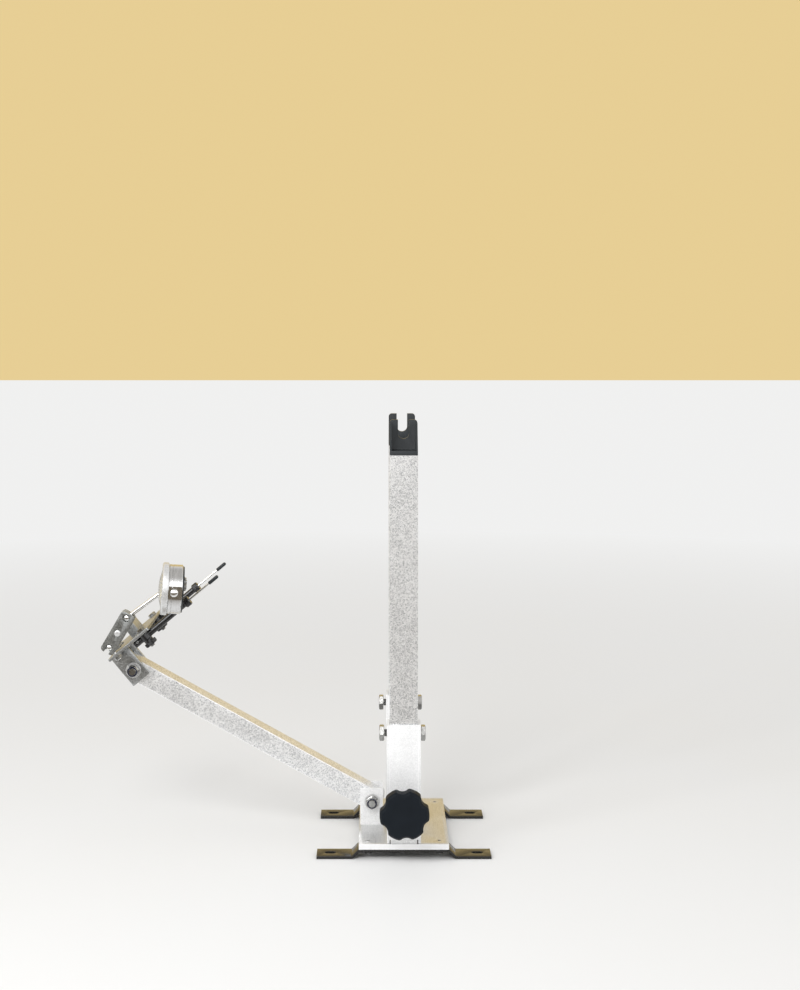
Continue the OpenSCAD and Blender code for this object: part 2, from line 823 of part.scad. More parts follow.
module front_clamp_bolts() {
    color("lightgray") front_side() clamp_bolts();
}

module rear_clamp_bolts() {
    color("lightgray") clamp_bolts();
}

module front_mast() {
    color("silver") front_side() mast();
}

module rear_mast() {
    color("silver") mast();
}

module front_dropout() {
    color([0.1, 0.1, 0.11]) front_side() dropout();
}

module rear_dropout() {
    color([0.1, 0.1, 0.11]) dropout();
}

module arm_tube() {
    color("silver") at_arm() difference() {
        translate([-arm_len - arm_end, -arm_d / 2, -arm_h / 2]) cube([arm_len + 2 * arm_end, arm_d, arm_h]);
        translate([-arm_len - arm_end - 1, -arm_d / 2 + arm_wall, -arm_h / 2 + arm_wall])
            cube([arm_len + 2 * arm_end + 2, arm_d - 2 * arm_wall, arm_h - 2 * arm_wall]);
        for (x = [0, -arm_len]) translate([x, 0, 0]) rod_y(pivot_d + 2 * turn_fit, -arm_d, arm_d);
    }
}

module bar_screw_places() {
    for (s = [-1, 1]) translate([bar_screw_u, s * bar_screw_y, 0]) children();
}

module block_screw_places() {
    for (s = [-1, 1]) translate([block_u + block_len / 2, s * block_screw_y, 0]) children();
}

module feeler_pivots() {
    for (s = [-1, 1]) translate([feeler_pivot_u, s * feeler_span / 2, 0]) children();
}

module head_bracket() {
    color([0.6, 0.6, 0.61]) at_head() difference() {
        translate([-head_w / 2, 0, bar_low]) rotate([90, 0, 90]) linear_extrude(head_w)
            mirror([0, 1]) u_section(bracket_out, bar_low + head_drop, bracket_t);
        rod_y(pivot_d + 2 * turn_fit, -bracket_out, bracket_out);
        bar_screw_places() cylinder(d = bar_screw_d + 2 * fixed_fit, h = bar_top);
    }
}

module head_pivot_bolt() {
    color("gainsboro") at_head() pivot_bolt();
}

module head_pivot_washers() {
    color("lightgray") at_head() pivot_washers();
}

module head_pivot_nut() {
    color("gainsboro") at_head() pivot_nut();
}

module gauge_bar() {
    color([0.62, 0.62, 0.63]) at_head() difference() {
        translate([bar_len / 2 - bar_back, 0, bar_low]) linear_extrude(bar_t)
            rounded_plate(bar_len, bar_w, bar_corner_r);
        bar_screw_places() cylinder(d = bar_screw_d + 2 * fixed_fit, h = bar_top + 1);
        block_screw_places() cylinder(d = bar_screw_d + 2 * fixed_fit, h = bar_top + 1);
        feeler_pivots() cylinder(d = feeler_bolt_d + 2 * turn_fit, h = bar_top + 1);
        translate([ball_u, -link_y, 0]) cylinder(d = neck_d + 2 * turn_fit, h = bar_top + 1);
    }
}

// Two screws join the bar to the bracket's web from above, two hold the block from below
module bar_screws() {
    head_t = 0.6 * bar_screw_d;
    color("gainsboro") at_head() {
        bar_screw_places() {
            translate([0, 0, head_rise]) cylinder(d = bar_screw_d, h = bar_top - head_rise + bite);
            translate([0, 0, bar_top]) cylinder(d = 1.8 * bar_screw_d, h = head_t);
        }
        block_screw_places() {
            translate([0, 0, bar_low - bite]) cylinder(d = bar_screw_d, h = bar_t + 2 * bar_screw_d);
            translate([0, 0, bar_low - head_t]) cylinder(d = 1.8 * bar_screw_d, h = head_t);
        }
    }
}

module bar_block() {
    color("silver") at_head() difference() {
        translate([block_u, -block_w / 2, bar_top]) cube([block_len, block_w, block_h]);
        block_screw_places() cylinder(d = bar_screw_d + 2 * fixed_fit, h = bar_top + 2.2 * bar_screw_d);
    }
}

module feeler_bolts() {
    head_t = 0.7 * feeler_bolt_d;
    end_v = thumb_v - thumb_t - 2;
    color("gainsboro") at_head() feeler_pivots() {
        translate([0, 0, end_v]) cylinder(d = feeler_bolt_d, h = bar_top - end_v + bite);
        translate([0, 0, bar_top]) cylinder(d = 1.6 * feeler_bolt_d / cos(30), h = head_t, $fn = 6);
    }
}

// Knurled rim on a narrower seat
module thumb_nuts() {
    seat_t = 0.3 * thumb_t;
    color("darkgray") at_head() feeler_pivots() difference() {
        translate([0, 0, thumb_v - thumb_t]) {
            cylinder(d = thumb_d, h = thumb_t - seat_t);
            cylinder(d = 0.72 * thumb_d, h = thumb_t);
        }
        translate([0, 0, thumb_v - thumb_t - 1])
            cylinder(d = feeler_bolt_d + 2 * turn_fit, h = thumb_t + 2);
    }
}

// Feeler on the rear side of the rim; the front one is its mirror image
module at_feeler(side) {
    at_head() mirror([0, side < 0 ? 1 : 0, 0]) translate([0, feeler_span / 2, feeler_v]) children();
}

module feeler_rod(side) {
    bore_u = feeler_end_u - pointer_tail - pointer_in - 1;
    at_feeler(side) difference() {
        union() {
            rod_x(feeler_d, feeler_pivot_u - feeler_tail, feeler_end_u);
            translate([feeler_pivot_u, 0, -feeler_boss_h / 2])
                cylinder(d = feeler_boss_d, h = feeler_boss_h);
        }
        translate([feeler_pivot_u, 0, -feeler_boss_h])
            cylinder(d = feeler_bolt_d + 2 * turn_fit, h = 2 * feeler_boss_h);
        rod_x(pointer_d + 2 * turn_fit, bore_u, feeler_end_u + 1);
    }
}

module feeler_collar(side) {
    at_feeler(side) difference() {
        rod_x(feeler_collar_d, feeler_end_u, feeler_end_u + feeler_collar_len);
        rod_x(pointer_d + 2 * turn_fit, feeler_end_u - 1, feeler_end_u + feeler_collar_len + 1);
    }
}

module pointer(side) {
    at_feeler(side) rod_x(pointer_d, feeler_end_u - pointer_tail, pointer_u);
}

// Rounded plastic tip, bored for the end of the pointer
module pointer_tip(side) {
    grip = 0.6 * tip_len;
    at_feeler(side) difference() {
        union() {
            rod_x(tip_d, pointer_u - grip, pointer_u + tip_len - grip - tip_d / 2);
            translate([pointer_u + tip_len - grip - tip_d / 2, 0, 0]) sphere(d = tip_d);
        }
        rod_x(pointer_d, pointer_u - grip - 1, pointer_u);
    }
}

module front_feeler_rod() {
    color([0.08, 0.08, 0.085]) feeler_rod(-1);
}

module rear_feeler_rod() {
    color([0.08, 0.08, 0.085]) feeler_rod(1);
}

module front_feeler_collar() {
    color([0.09, 0.09, 0.095]) feeler_collar(-1);
}

module rear_feeler_collar() {
    color([0.09, 0.09, 0.095]) feeler_collar(1);
}

module front_pointer() {
    color("gainsboro") pointer(-1);
}

module rear_pointer() {
    color("gainsboro") pointer(1);
}

module front_pointer_tip() {
    color([0.1, 0.1, 0.1]) pointer_tip(-1);
}

module rear_pointer_tip() {
    color([0.1, 0.1, 0.1]) pointer_tip(1);
}

module ball_stud() {
    color("gainsboro") at_head() translate([ball_u, -link_y, 0]) {
        translate([0, 0, ball_v]) sphere(d = ball_d);
        translate([0, 0, bar_low - stud_nut_t - 1])
            cylinder(d = neck_d, h = ball_v - bar_low + stud_nut_t + 1);
    }
}

module ball_stud_nut() {
    color("gainsboro") at_head() translate([ball_u, -link_y, bar_low - stud_nut_t]) difference() {
        cylinder(d = 1.7 * neck_d / cos(30), h = stud_nut_t, $fn = 6);
        translate([0, 0, -1]) cylinder(d = neck_d + 2 * turn_fit, h = stud_nut_t + 2);
    }
}

// Plate on one side of the two balls, seated on them, with an open notch at the lower ball
module link_plate(side) {
    inner = link_gap / 2;
    notch_w = 0.7 * link_window_d;
    at_link() mirror([0, side < 0 ? 1 : 0, 0]) difference() {
        slab_y(inner, inner + link_t) difference() {
            translate([link_len / 2, 0]) rounded_plate(link_len + 2 * link_end, link_w, link_corner_r);
            for (x = [0, link_len]) translate([x, 0]) circle(d = link_window_d);
            translate([link_len / 2, 0]) circle(d = link_screw_d + 2 * fixed_fit);
            translate([-2 * link_end, -notch_w / 2]) square([2 * link_end, notch_w]);
        }
        for (x = [0, link_len]) translate([x, 0, 0]) sphere(d = ball_d + 2 * turn_fit);
    }
}

module front_link_plate() {
    color([0.45, 0.45, 0.46]) link_plate(-1);
}

module back_link_plate() {
    color([0.45, 0.45, 0.46]) link_plate(1);
}

module link_screw() {
    out = link_gap / 2 + link_t;
    color("gainsboro") at_link() translate([link_len / 2, 0, 0]) {
        rod_y(link_screw_d, -out - bite, out + bite);
        rod_y(1.7 * link_screw_d, -out - link_head_t, -out);
        hex_y(1.75 * link_screw_d, out, out + 0.8 * link_screw_d);
    }
}

module ball_rod() {
    color("gainsboro") at_rod() {
        rotate([0, 90, 0]) sphere(d = ball_d);
        rod_x(neck_d, 0, rod_end);
    }
}

// Split ring round the dial stem, with a socket for the rod and an ear to pinch it
module stem_clamp() {
    ear_end = stem_clamp_d / 2 + ear_out;
    color([0.5, 0.5, 0.51]) difference() {
        union() {
            at_dial() {
                rod_y(stem_clamp_d, -stem_clamp_w / 2, stem_clamp_w / 2);
                translate([0, -stem_clamp_w / 2, -ear_t / 2]) cube([ear_end, stem_clamp_w, ear_t]);
            }
            at_rod() rod_x(socket_d, rod_end - socket_len, rod_len);
        }
        at_dial() {
            rod_y(stem_d + 2 * turn_fit, -stem_clamp_w, stem_clamp_w);
            translate([0, -stem_clamp_w, -ear_slit / 2]) cube([ear_end + 1, 2 * stem_clamp_w, ear_slit]);
            translate([ear_end - ear_out / 2, 0, -ear_t]) cylinder(d = ear_hole_d, h = 2 * ear_t);
        }
        at_rod() rod_x(neck_d + 2 * turn_fit, 0, rod_end);
    }
}

module dial_case() {
    color("silver") at_dial() difference() {
        union() {
            translate([0, dial_y, 0]) {
                rod_x(case_d, case_front, case_back);
                rod_x(bezel_bore_d - 2 * turn_fit, case_front - spigot_t, case_front + 1);
                rod_x(arbor_d, needle_x - hand_t - bite, case_front);
                translate([0, 0, -counter_offset])
                    rod_x(arbor_d, counter_x - hand_t - hand_gap / 2, case_front);
            }
            rod_y(stem_d, dial_y, stem_end);
            rod_y(stem_boss_d, dial_y, -stem_clamp_w / 2 - 1);
        }
        rod_y(plunger_d + 2 * turn_fit, cap_seat - 1, stem_end + 1);
        translate([case_front - bite, dial_y - case_d, -case_d / 2])
            cube([case_t + 2 * bite, cap_seat - dial_y + case_d, case_d]);
    }
}

module dial_back_cover() {
    color([0.08, 0.08, 0.08]) at_dial() translate([0, dial_y, 0])
        rod_x(case_d - 3, case_back, case_back + cover_t);
}

// Domed cap over the inner end of the plunger
module spindle_cap() {
    color("gainsboro") at_dial() {
        intersection() {
            rod_y(cap_d, cap_seat - cap_len, cap_seat);
            translate([0, cap_seat - cap_len + cap_dome_r, 0]) rotate([90, 0, 0]) sphere(r = cap_dome_r);
        }
        rod_y(plunger_d, cap_seat - bite, cap_seat + plunger_d);
    }
}

module bezel() {
    color("gainsboro") at_dial() translate([0, dial_y, 0]) difference() {
        union() {
            rod_x(bezel_d, bezel_front + bezel_lip_t, bezel_back);
            rod_x(bezel_d - 2 * bezel_step, bezel_front, bezel_back);
        }
        rod_x(bezel_bore_d, dome_x, bezel_back + 1);
        rod_x(bezel_bore_d - 2 * bezel_lip_w, bezel_front - 1, dome_x + 1);
    }
}

// Domed glass, seated inside the bezel's lip
module crystal() {
    color([0.85, 0.9, 0.92, 0.35]) at_dial() translate([dome_x, dial_y, 0]) {
        difference() {
            intersection() {
                translate([dome_r - dome_h, 0, 0]) sphere(r = dome_r, $fn = 96);
                rod_x(bezel_bore_d - 2 * bezel_lip_w - 2 * fixed_fit, -dome_h - 1, 0.2);
            }
            translate([dome_r - dome_h, 0, 0]) sphere(r = dome_r - crystal_t, $fn = 96);
        }
        difference() {
            rod_x(crystal_d, 0, crystal_t);
            rod_x(crystal_d - 2 * crystal_flange, -1, crystal_t + 1);
        }
    }
}

module dial_face() {
    color("white") at_dial() translate([0, dial_y, 0]) difference() {
        rod_x(bezel_bore_d - 2 * turn_fit, face_x - face_t, face_x);
        rod_x(plate_d + 2 * part_gap, face_x - 1, face_x + 1);
    }
}

// Fixed disc inside the turning scale, with the turn counter's own scale
module counter_plate() {
    color("white") at_dial() translate([0, dial_y, 0]) difference() {
        rod_x(plate_d, face_x - face_t, case_front - spigot_t);
        for (z = [0, -counter_offset]) translate([0, 0, z])
            rod_x(arbor_d + 2 * fixed_fit, face_x - 1, face_x + 1);
    }
}

// Flat hand on its arbor: a ring, a long taper and a short tail
module hand(reach, hub_d) {
    root = 0.3 * hub_d;
    tip = 0.1;
    tail = 0.26 * hub_d;
    tail_end = -0.3 * reach;
    right = [[tip, reach], [root, 0], [tail, tail_end]];
    left = [[-tail, tail_end], [-root, 0], [-tip, reach]];
    difference() {
        union() {
            rod_x(hub_d, 0, hand_t);
            rotate([90, 0, 90]) linear_extrude(hand_t) polygon(concat(right, left));
        }
        rod_x(arbor_d + 2 * turn_fit, -1, hand_t + 1);
    }
}

module needle() {
    color([0.1, 0.1, 0.1]) at_dial() translate([needle_x - hand_t, dial_y, 0]) hand(0.36 * case_d, 5);
}

module counter_hand() {
    color([0.1, 0.1, 0.1]) at_dial() translate([counter_x - hand_t, dial_y, -counter_offset])
        hand(0.075 * case_d, 3);
}

// Rack spindle with its contact point
module plunger() {
    color("gainsboro") at_dial() {
        rod_y(plunger_d, dial_y, plunger_tip - contact_len);
        rod_y(contact_d, plunger_tip - contact_len - bite, plunger_tip - contact_ball_d / 2);
        translate([0, plunger_tip - contact_ball_d / 2, 0]) sphere(d = contact_ball_d);
    }
}

base_plate();
front_foot_bar();
rear_foot_bar();
base_screws();
foot_nuts();
arm_clevis();
arm_pivot_bolt();
arm_pivot_washers();
arm_pivot_nut();
bearing_block();
lead_screw();
thrust_collars();
star_knob();
front_shoe();
front_screw_nut();
front_sleeve();
front_clamp_bolts();
front_mast();
front_dropout();
rear_shoe();
rear_screw_nut();
rear_sleeve();
rear_clamp_bolts();
rear_mast();
rear_dropout();
arm_tube();
head_bracket();
head_pivot_bolt();
head_pivot_washers();
head_pivot_nut();
gauge_bar();
bar_screws();
bar_block();
feeler_bolts();
thumb_nuts();
front_feeler_rod();
front_feeler_collar();
front_pointer();
front_pointer_tip();
rear_feeler_rod();
rear_feeler_collar();
rear_pointer();
rear_pointer_tip();
ball_stud();
ball_stud_nut();
front_link_plate();
back_link_plate();
link_screw();
ball_rod();
stem_clamp();
dial_case();
dial_back_cover();
spindle_cap();
bezel();
crystal();
dial_face();
counter_plate();
needle();
counter_hand();
plunger();
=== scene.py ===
"""Wheel truing stand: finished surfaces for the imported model, with a plain stage and a camera."""

import json
import math

import bmesh
import bpy
import numpy as np
from bpy.props import FloatProperty, FloatVectorProperty, IntProperty, PointerProperty
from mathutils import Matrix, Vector

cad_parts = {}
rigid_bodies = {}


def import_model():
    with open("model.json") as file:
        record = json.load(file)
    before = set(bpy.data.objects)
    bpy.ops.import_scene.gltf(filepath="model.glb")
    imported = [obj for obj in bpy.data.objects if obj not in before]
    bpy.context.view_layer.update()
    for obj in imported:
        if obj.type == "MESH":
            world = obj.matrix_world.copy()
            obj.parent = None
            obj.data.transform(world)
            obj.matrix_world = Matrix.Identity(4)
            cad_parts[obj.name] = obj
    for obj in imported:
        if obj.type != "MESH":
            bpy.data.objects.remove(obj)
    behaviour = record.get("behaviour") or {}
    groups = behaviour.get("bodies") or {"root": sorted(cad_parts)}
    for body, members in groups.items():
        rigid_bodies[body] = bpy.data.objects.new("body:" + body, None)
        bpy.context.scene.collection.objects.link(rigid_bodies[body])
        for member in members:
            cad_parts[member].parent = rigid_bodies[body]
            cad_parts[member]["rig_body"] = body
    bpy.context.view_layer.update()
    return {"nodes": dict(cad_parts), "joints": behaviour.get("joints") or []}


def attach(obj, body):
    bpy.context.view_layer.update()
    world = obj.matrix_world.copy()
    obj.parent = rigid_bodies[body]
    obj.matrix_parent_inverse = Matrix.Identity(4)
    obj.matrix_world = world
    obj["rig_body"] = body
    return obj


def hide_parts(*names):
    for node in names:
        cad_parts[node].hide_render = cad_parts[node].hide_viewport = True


bl_info = {
    "name": "Wheel truing stand",
    "version": (1, 0, 0),
    "blender": (4, 5, 0),
    "location": "3D View > Sidebar > Stand",
    "description": "Finished surfaces, stage and camera for a wheel truing stand",
    "category": "Object",
}

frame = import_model()
NODES = frame["nodes"]
JOINTS = {joint["name"]: joint for joint in frame["joints"]}
SIDES = ("front", "rear")
MM = 0.001
TURN = 2 * math.pi
QUARTER = TURN / 4
RIGHT, BACK, UP = np.eye(3)
AXES = {"x": [2, 0, 1], "y": [1, 2, 0], "z": [0, 1, 2]}
COLUMNS = 48  # round a turned piece
CORNER = 7  # points on each corner of a rounded outline
SHARP = 32  # degrees past which an edge stays sharp
NECK = 2.25  # radius of the rods that carry balls


def pivot(joint):
    """Where a joint turns, in metres."""
    return np.array(JOINTS[joint]["pos_m"])


def heading(joint):
    """The direction of a joint's axis."""
    return np.array(JOINTS[joint]["axis"])


def read(items, name, width=3, kind=np.float32):
    """One property of all items of a mesh, as the rows of an array."""
    values = np.empty(width * len(items), kind)
    items.foreach_get(name, values)
    return values.reshape(-1, width)


class Place:
    """A local frame in millimetres: an origin in metres, an X and a Y direction, and Z square to both."""

    def __init__(self, origin, x, y):
        x, y = (np.array(v, float) / np.linalg.norm(v) for v in (x, y))
        self.origin = np.array(origin, float)
        self.axes = np.array([x, y, np.cross(x, y)])

    def __call__(self, grid, axis="z", shift=(0, 0, 0)):
        """Points in metres: a grid that stands on Z is stood on the named axis and shifted.

        Then the origin is added to each coordinate times its direction."""
        local = np.asarray(grid, float)[..., AXES[axis]] + np.array(shift, float)
        return self.origin + MM * (local @ self.axes)

    def each(self, grids, axis="z", shift=(0, 0, 0)):
        """Several grids stood and shifted alike."""
        return [self(grid, axis, shift) for grid in grids]

    def box(self, node):
        """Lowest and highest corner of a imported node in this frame, in millimetres."""
        local = (read(NODES[node].data.vertices, "co") - self.origin) @ self.axes.T / MM
        return local.min(0), local.max(0)


BENCH = Place((0, 0, 0), RIGHT, BACK)
SCREW, CLEVIS = (Place(pivot(joint), RIGHT, BACK) for joint in ("knob_turn", "arm_hinge"))
ARM = Place(pivot("arm_hinge"), pivot("arm_hinge") - pivot("head_hinge"), BACK)
HEAD = Place(pivot("head_hinge"), np.cross(BACK, heading("front_feeler_swing")), BACK)
FEELERS = {side: Place(pivot(f"{side}_feeler_swing"), HEAD.axes[0], BACK) for side in SIDES}
LINK = Place(pivot("link_hinge"), pivot("rod_hinge") - pivot("link_hinge"), BACK)
ROD = Place(pivot("rod_hinge"), pivot("dial_swivel") - pivot("rod_hinge"), BACK)
STEM, FACE, COUNTER = (
    Place(pivot(joint), heading("needle_turn"), heading("dial_swivel"))
    for joint in ("dial_swivel", "needle_turn", "counter_turn")
)


def angles(columns, turn=0.0):
    """Evenly spaced angles once round."""
    return turn + TURN * np.arange(columns) / columns


def arc(centre, radius, start, end, steps):
    """Points on a circle: the centre plus radius times (cos v, sin v), for v from start to end."""
    v = np.linspace(start, end, steps)
    return np.array(centre) + radius * np.stack([np.cos(v), np.sin(v)], 1)


def dome(edge, sphere, apex, steps):
    """Profile of a spherical cap: (r, apex + R - sqrt(R^2 - r^2)), for r from the axis to the edge."""
    r = np.linspace(0, edge, steps)
    return np.column_stack([r, apex + sphere - np.sqrt(sphere**2 - r * r)])


def wave(v):
    """Triangle wave: 1 at whole numbers and 0 half way between them."""
    return np.abs(v % 1 * 2 - 1)


def turned(profile, columns=COLUMNS, ripple=None):
    """Surface of revolution: (r cos t, r sin t, h) for every (r, h) of the profile and angle t.

    Either of r and h may change round its ring. ripple(t, h) is added to r, for knurls and serrations."""
    t = angles(columns)
    r, h = (np.array([np.broadcast_to(row[k], t.shape) for row in profile], float) for k in (0, 1))
    if ripple:
        r = r + ripple(t, h) * (r > 0)
    return np.stack([r * np.cos(t), r * np.sin(t), h], -1)


def ringed(profile, **options):
    """A revolved ring with a bore: the profile runs round its section and back to its start."""
    return turned([*profile, profile[0]], **options)


def rod_profile(radius, start, end, edge=0.3):
    """Profile of a plain rod with chamfered ends, closed on its axis."""
    half = [(0, start), (radius - edge, start), (radius, start + edge)]
    return half + [(radius, end - edge), (radius - edge, end), (0, end)]


def threaded(diameter, pitch, start, end, hand=1):
    """Screw thread: the radius less a groove times a triangle wave of h / pitch - hand t / turn.

    The groove fades out over the last pitch at both ends, which close on the axis."""
    columns, steps, groove, chamfer = 24, 6, 0.45 * pitch, 0.3
    h = np.linspace(start, end, max(int((end - start) / pitch * steps), 8))[:, None]
    fade = np.clip(np.minimum(h - start, end - h) / pitch, 0, 1)
    cut = groove * wave(h / pitch - hand * angles(columns) / TURN) * fade
    radius = diameter / 2 - cut - chamfer * (1 - fade)
    return turned([(0, start), *zip(radius, h), (0, end)], columns)


def hex_radius(flats):
    """Distance from a hexagon's middle to its edge: half the flats over cos of the angle off the flat."""
    return flats / 2 / np.cos(angles(COLUMNS) % (TURN / 6) - TURN / 12)


def hex_rows(flats, start, end):
    """Rows of a hexagon, whose rim drops at 30 degrees where the corners pass the chamfer circle."""
    rho, face = hex_radius(flats), 0.47 * flats
    drop = np.sign(end - start) * np.clip(rho - face, 0, None) * math.tan(math.radians(30))
    return [(face, start), (rho, start + drop), (rho, end - drop), (face, end)]


def hex_head(flats, start, end, bore=None):
    """Hexagon head, closed on its axis at both ends; with a bore's radius it is a nut."""
    rows = hex_rows(flats, start, end)
    if bore is None:
        return turned([(0, start), *rows, (0, end)])
    lip = 0.4
    edge = np.sign(end - start) * lip
    return ringed(rows + [(bore + lip, end), (bore, end - edge), (bore, start + edge), (bore + lip, start)])


def lock_nut(flats, start, end, bore, ring):
    """Hexagon nut with a round collar on its outer end, bored out to a ring's radius behind a rolled lip."""
    up = np.sign(end - start)
    step = start + 0.65 * (end - start)
    collar = [(ring + 0.55, step + up * 0.2), (ring + 0.5, end - up * 0.7), (ring + 0.25, end - up * 0.1)]
    hole = [(ring + 0.1, end), (ring, end - up * 0.2), (ring, step), (bore, step), (bore, start)]
    return ringed(hex_rows(flats, start, step) + collar + hole)


def socket_head(radius, start, end, flats, fall=0.0):
    """Round screw head with a hexagon recess; the top falls towards its edge."""
    up, edge, lip = np.sign(end - start), 0.25, 0.15
    recess, deep = hex_radius(flats), end - 0.6 * (end - start)
    rows = [(0, start), (radius - edge, start), (radius, start + up * edge)]
    rows += [(radius, end - up * (edge + fall)), (radius - edge, end - up * fall)]
    rows += [(0.7 * radius, end - up * 0.3 * fall), (recess + lip, end), (recess, end - up * lip)]
    return turned(rows + [(0.95 * recess, deep), (0, deep)])


def countersunk(radius, shank, start, end, flats):
    """Flat screw with a conical head and a hexagon recess."""
    recess, neck, deep = hex_radius(flats), end - (radius - shank), end - 2.4
    rows = [(0, start), (shank - 0.3, start), (shank, start + 0.3), (shank, neck), (radius - 0.1, end - 0.25)]
    rows += [(radius - 0.25, end), (recess + 0.1, end), (recess, end - 0.1)]
    return turned(rows + [(0.95 * recess, deep), (0, deep - 0.2)])


def washer(inner, outer, start, end, edge=0.2):
    """Flat ring with softened edges."""
    low, high = sorted((start, end))
    section = [(inner, low + edge), (inner + edge, low), (outer - edge, low), (outer, low + edge)]
    return ringed(section + [(r, low + high - h) for r, h in reversed(section)])


def diamond_knurl(teeth, lead, depth):
    """Ripple of two crossing helices: minus depth times the larger of two triangle waves."""
    return lambda t, h: -depth * np.maximum(*(wave(teeth * t / TURN + k * h / lead) for k in (-1, 1)))


def straight_knurl(teeth, depth):
    """Ripple of straight teeth: minus depth times a triangle wave of the angle."""
    return lambda t, h: -depth * wave(teeth * t / TURN)


def rounded_rectangle(width, depth, corner):
    """Outline of a rectangle with round corners; inset draws it in."""

    def outline(inset):
        a, b, c = width / 2 - inset, depth / 2 - inset, max(corner - inset, 0.05)
        first = arc((a - c, b - c), c, 0, QUARTER, CORNER)
        second = (first * (-1, 1))[::-1]
        return np.vstack([first, second, -first, -second])

    return outline


def star(lobes, radius, hollow, depth, corner, turn):
    """Outline of a circle with round hollows and rounded corners beside them; inset draws it in.

    A corner's centre lies where circles of radius - corner and hollow + corner cross."""
    inner, far, reach = radius - corner, radius - depth + hollow, hollow + corner
    half = math.acos((inner**2 + far**2 - reach**2) / (2 * inner * far))
    side = inner * np.array([math.cos(half), math.sin(half)])
    meet = math.atan2(side[1], far - side[0])

    def outline(inset):
        before = arc(side * (1, -1), corner - inset, -half, meet, 8)
        bay = arc((far, 0), hollow + inset, math.pi + meet, math.pi - meet, 15)[1:-1]
        after = arc(side, corner - inset, -meet, half, 8)
        lobe = arc((0, 0), radius - inset, half, TURN / lobes - half, 8)[1:-1]
        run = np.vstack([before, bay, after, lobe]) @ (1, 1j)
        whole = np.outer(np.exp(1j * angles(lobes, turn)), run).ravel()
        return np.stack([whole.real, whole.imag], 1)

    return outline


def walls(outline, stations):
    """Rings of an outline at (inset, height) stations."""
    return np.array([np.insert(outline(inset), 2, height, axis=1) for inset, height in stations])


def box_tube(width, depth, start, end):
    """Square tube: the outline runs up outside, over the softened end and down inside."""
    wall, corner, edge = (size_of(f"tube_{name}") for name in ("wall", "corner", "edge"))
    outside = [(edge, start), (0, start + edge), (0, end - edge), (edge, end)]
    inside = [(wall - inset, height) for inset, height in reversed(outside)]
    return walls(rounded_rectangle(width, depth, corner), outside + inside + outside[:1])


def slab(width, depth, start, end, edge=0.3):
    """Plate standing on its end: a rounded outline runs up between two ends that close on the axis."""
    low = [(edge, start), (0.3 * edge, start + 0.3 * edge), (0, start + edge)]
    high = [(inset, start + end - height) for inset, height in reversed(low)]
    body = walls(rounded_rectangle(width, depth, edge), low + high)
    return np.concatenate([body[:1] * (0, 0, 1), body, body[-1:] * (0, 0, 1)])


def evaluated(holder):
    """The mesh that an object's modifiers or text give; the object itself is removed."""
    bpy.context.scene.collection.objects.link(holder)
    bpy.context.view_layer.update()
    mesh = bpy.data.meshes.new_from_object(holder.evaluated_get(bpy.context.evaluated_depsgraph_get()))
    bpy.data.objects.remove(holder)
    return mesh


def weld(mesh, distance=1e-7):
    """Joins coincident points and points the faces outwards."""
    work = bmesh.new()
    work.from_mesh(mesh)
    bmesh.ops.remove_doubles(work, verts=work.verts, dist=distance)
    bmesh.ops.dissolve_degenerate(work, edges=work.edges, dist=distance)
    bmesh.ops.recalc_face_normals(work, faces=work.faces)
    work.to_mesh(mesh)
    work.free()


def show(name, mesh, finish, node=None, on=None, like=None, sharp=SHARP):
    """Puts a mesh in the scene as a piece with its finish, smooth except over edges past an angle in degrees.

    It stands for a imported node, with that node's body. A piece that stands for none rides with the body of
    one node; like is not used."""
    mesh.shade_smooth()
    mesh.set_sharp_from_angle(angle=math.radians(sharp))
    mesh.materials.clear()
    mesh.materials.append(finish_of(finish))
    piece = bpy.data.objects.new(name, mesh)
    bpy.context.scene.collection.objects.link(piece)
    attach(piece, NODES[on or node]["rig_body"])
    if node:
        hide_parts(node)


def mark_edges(mesh, flags):
    """Keeps one number for every face: 1 where the finish paints a highlight, as on a rounded edge."""
    mesh.attributes.new("edge", "FLOAT", "FACE").data.foreach_set("value", np.asarray(flags, np.float32))


def skin(name, finish, node, *grids, worn=False, **options):
    """One piece from grids of points: neighbouring rows are joined by quads, and columns close round.

    With the edge flag set, every grid is a rounded outline, and the columns on its corners are marked for a
    painted highlight."""
    points, faces, base = [], [], 0
    for grid in grids:
        rows, columns = grid.shape[:2]
        index = base + np.arange(rows * columns).reshape(rows, columns)
        beside = np.roll(index, -1, axis=1)
        faces.append(np.stack([index[:-1], beside[:-1], beside[1:], index[1:]], -1).reshape(-1, 4))
        points.append(grid.reshape(-1, 3))
        base += rows * columns
    mesh = bpy.data.meshes.new(name)
    mesh.from_pydata(np.vstack(points), [], np.vstack(faces))
    if worn:
        mark_edges(mesh, np.concatenate([np.arange(len(part)) % CORNER != CORNER - 1 for part in faces]))
    weld(mesh)
    show(name, mesh, finish, node, **options)


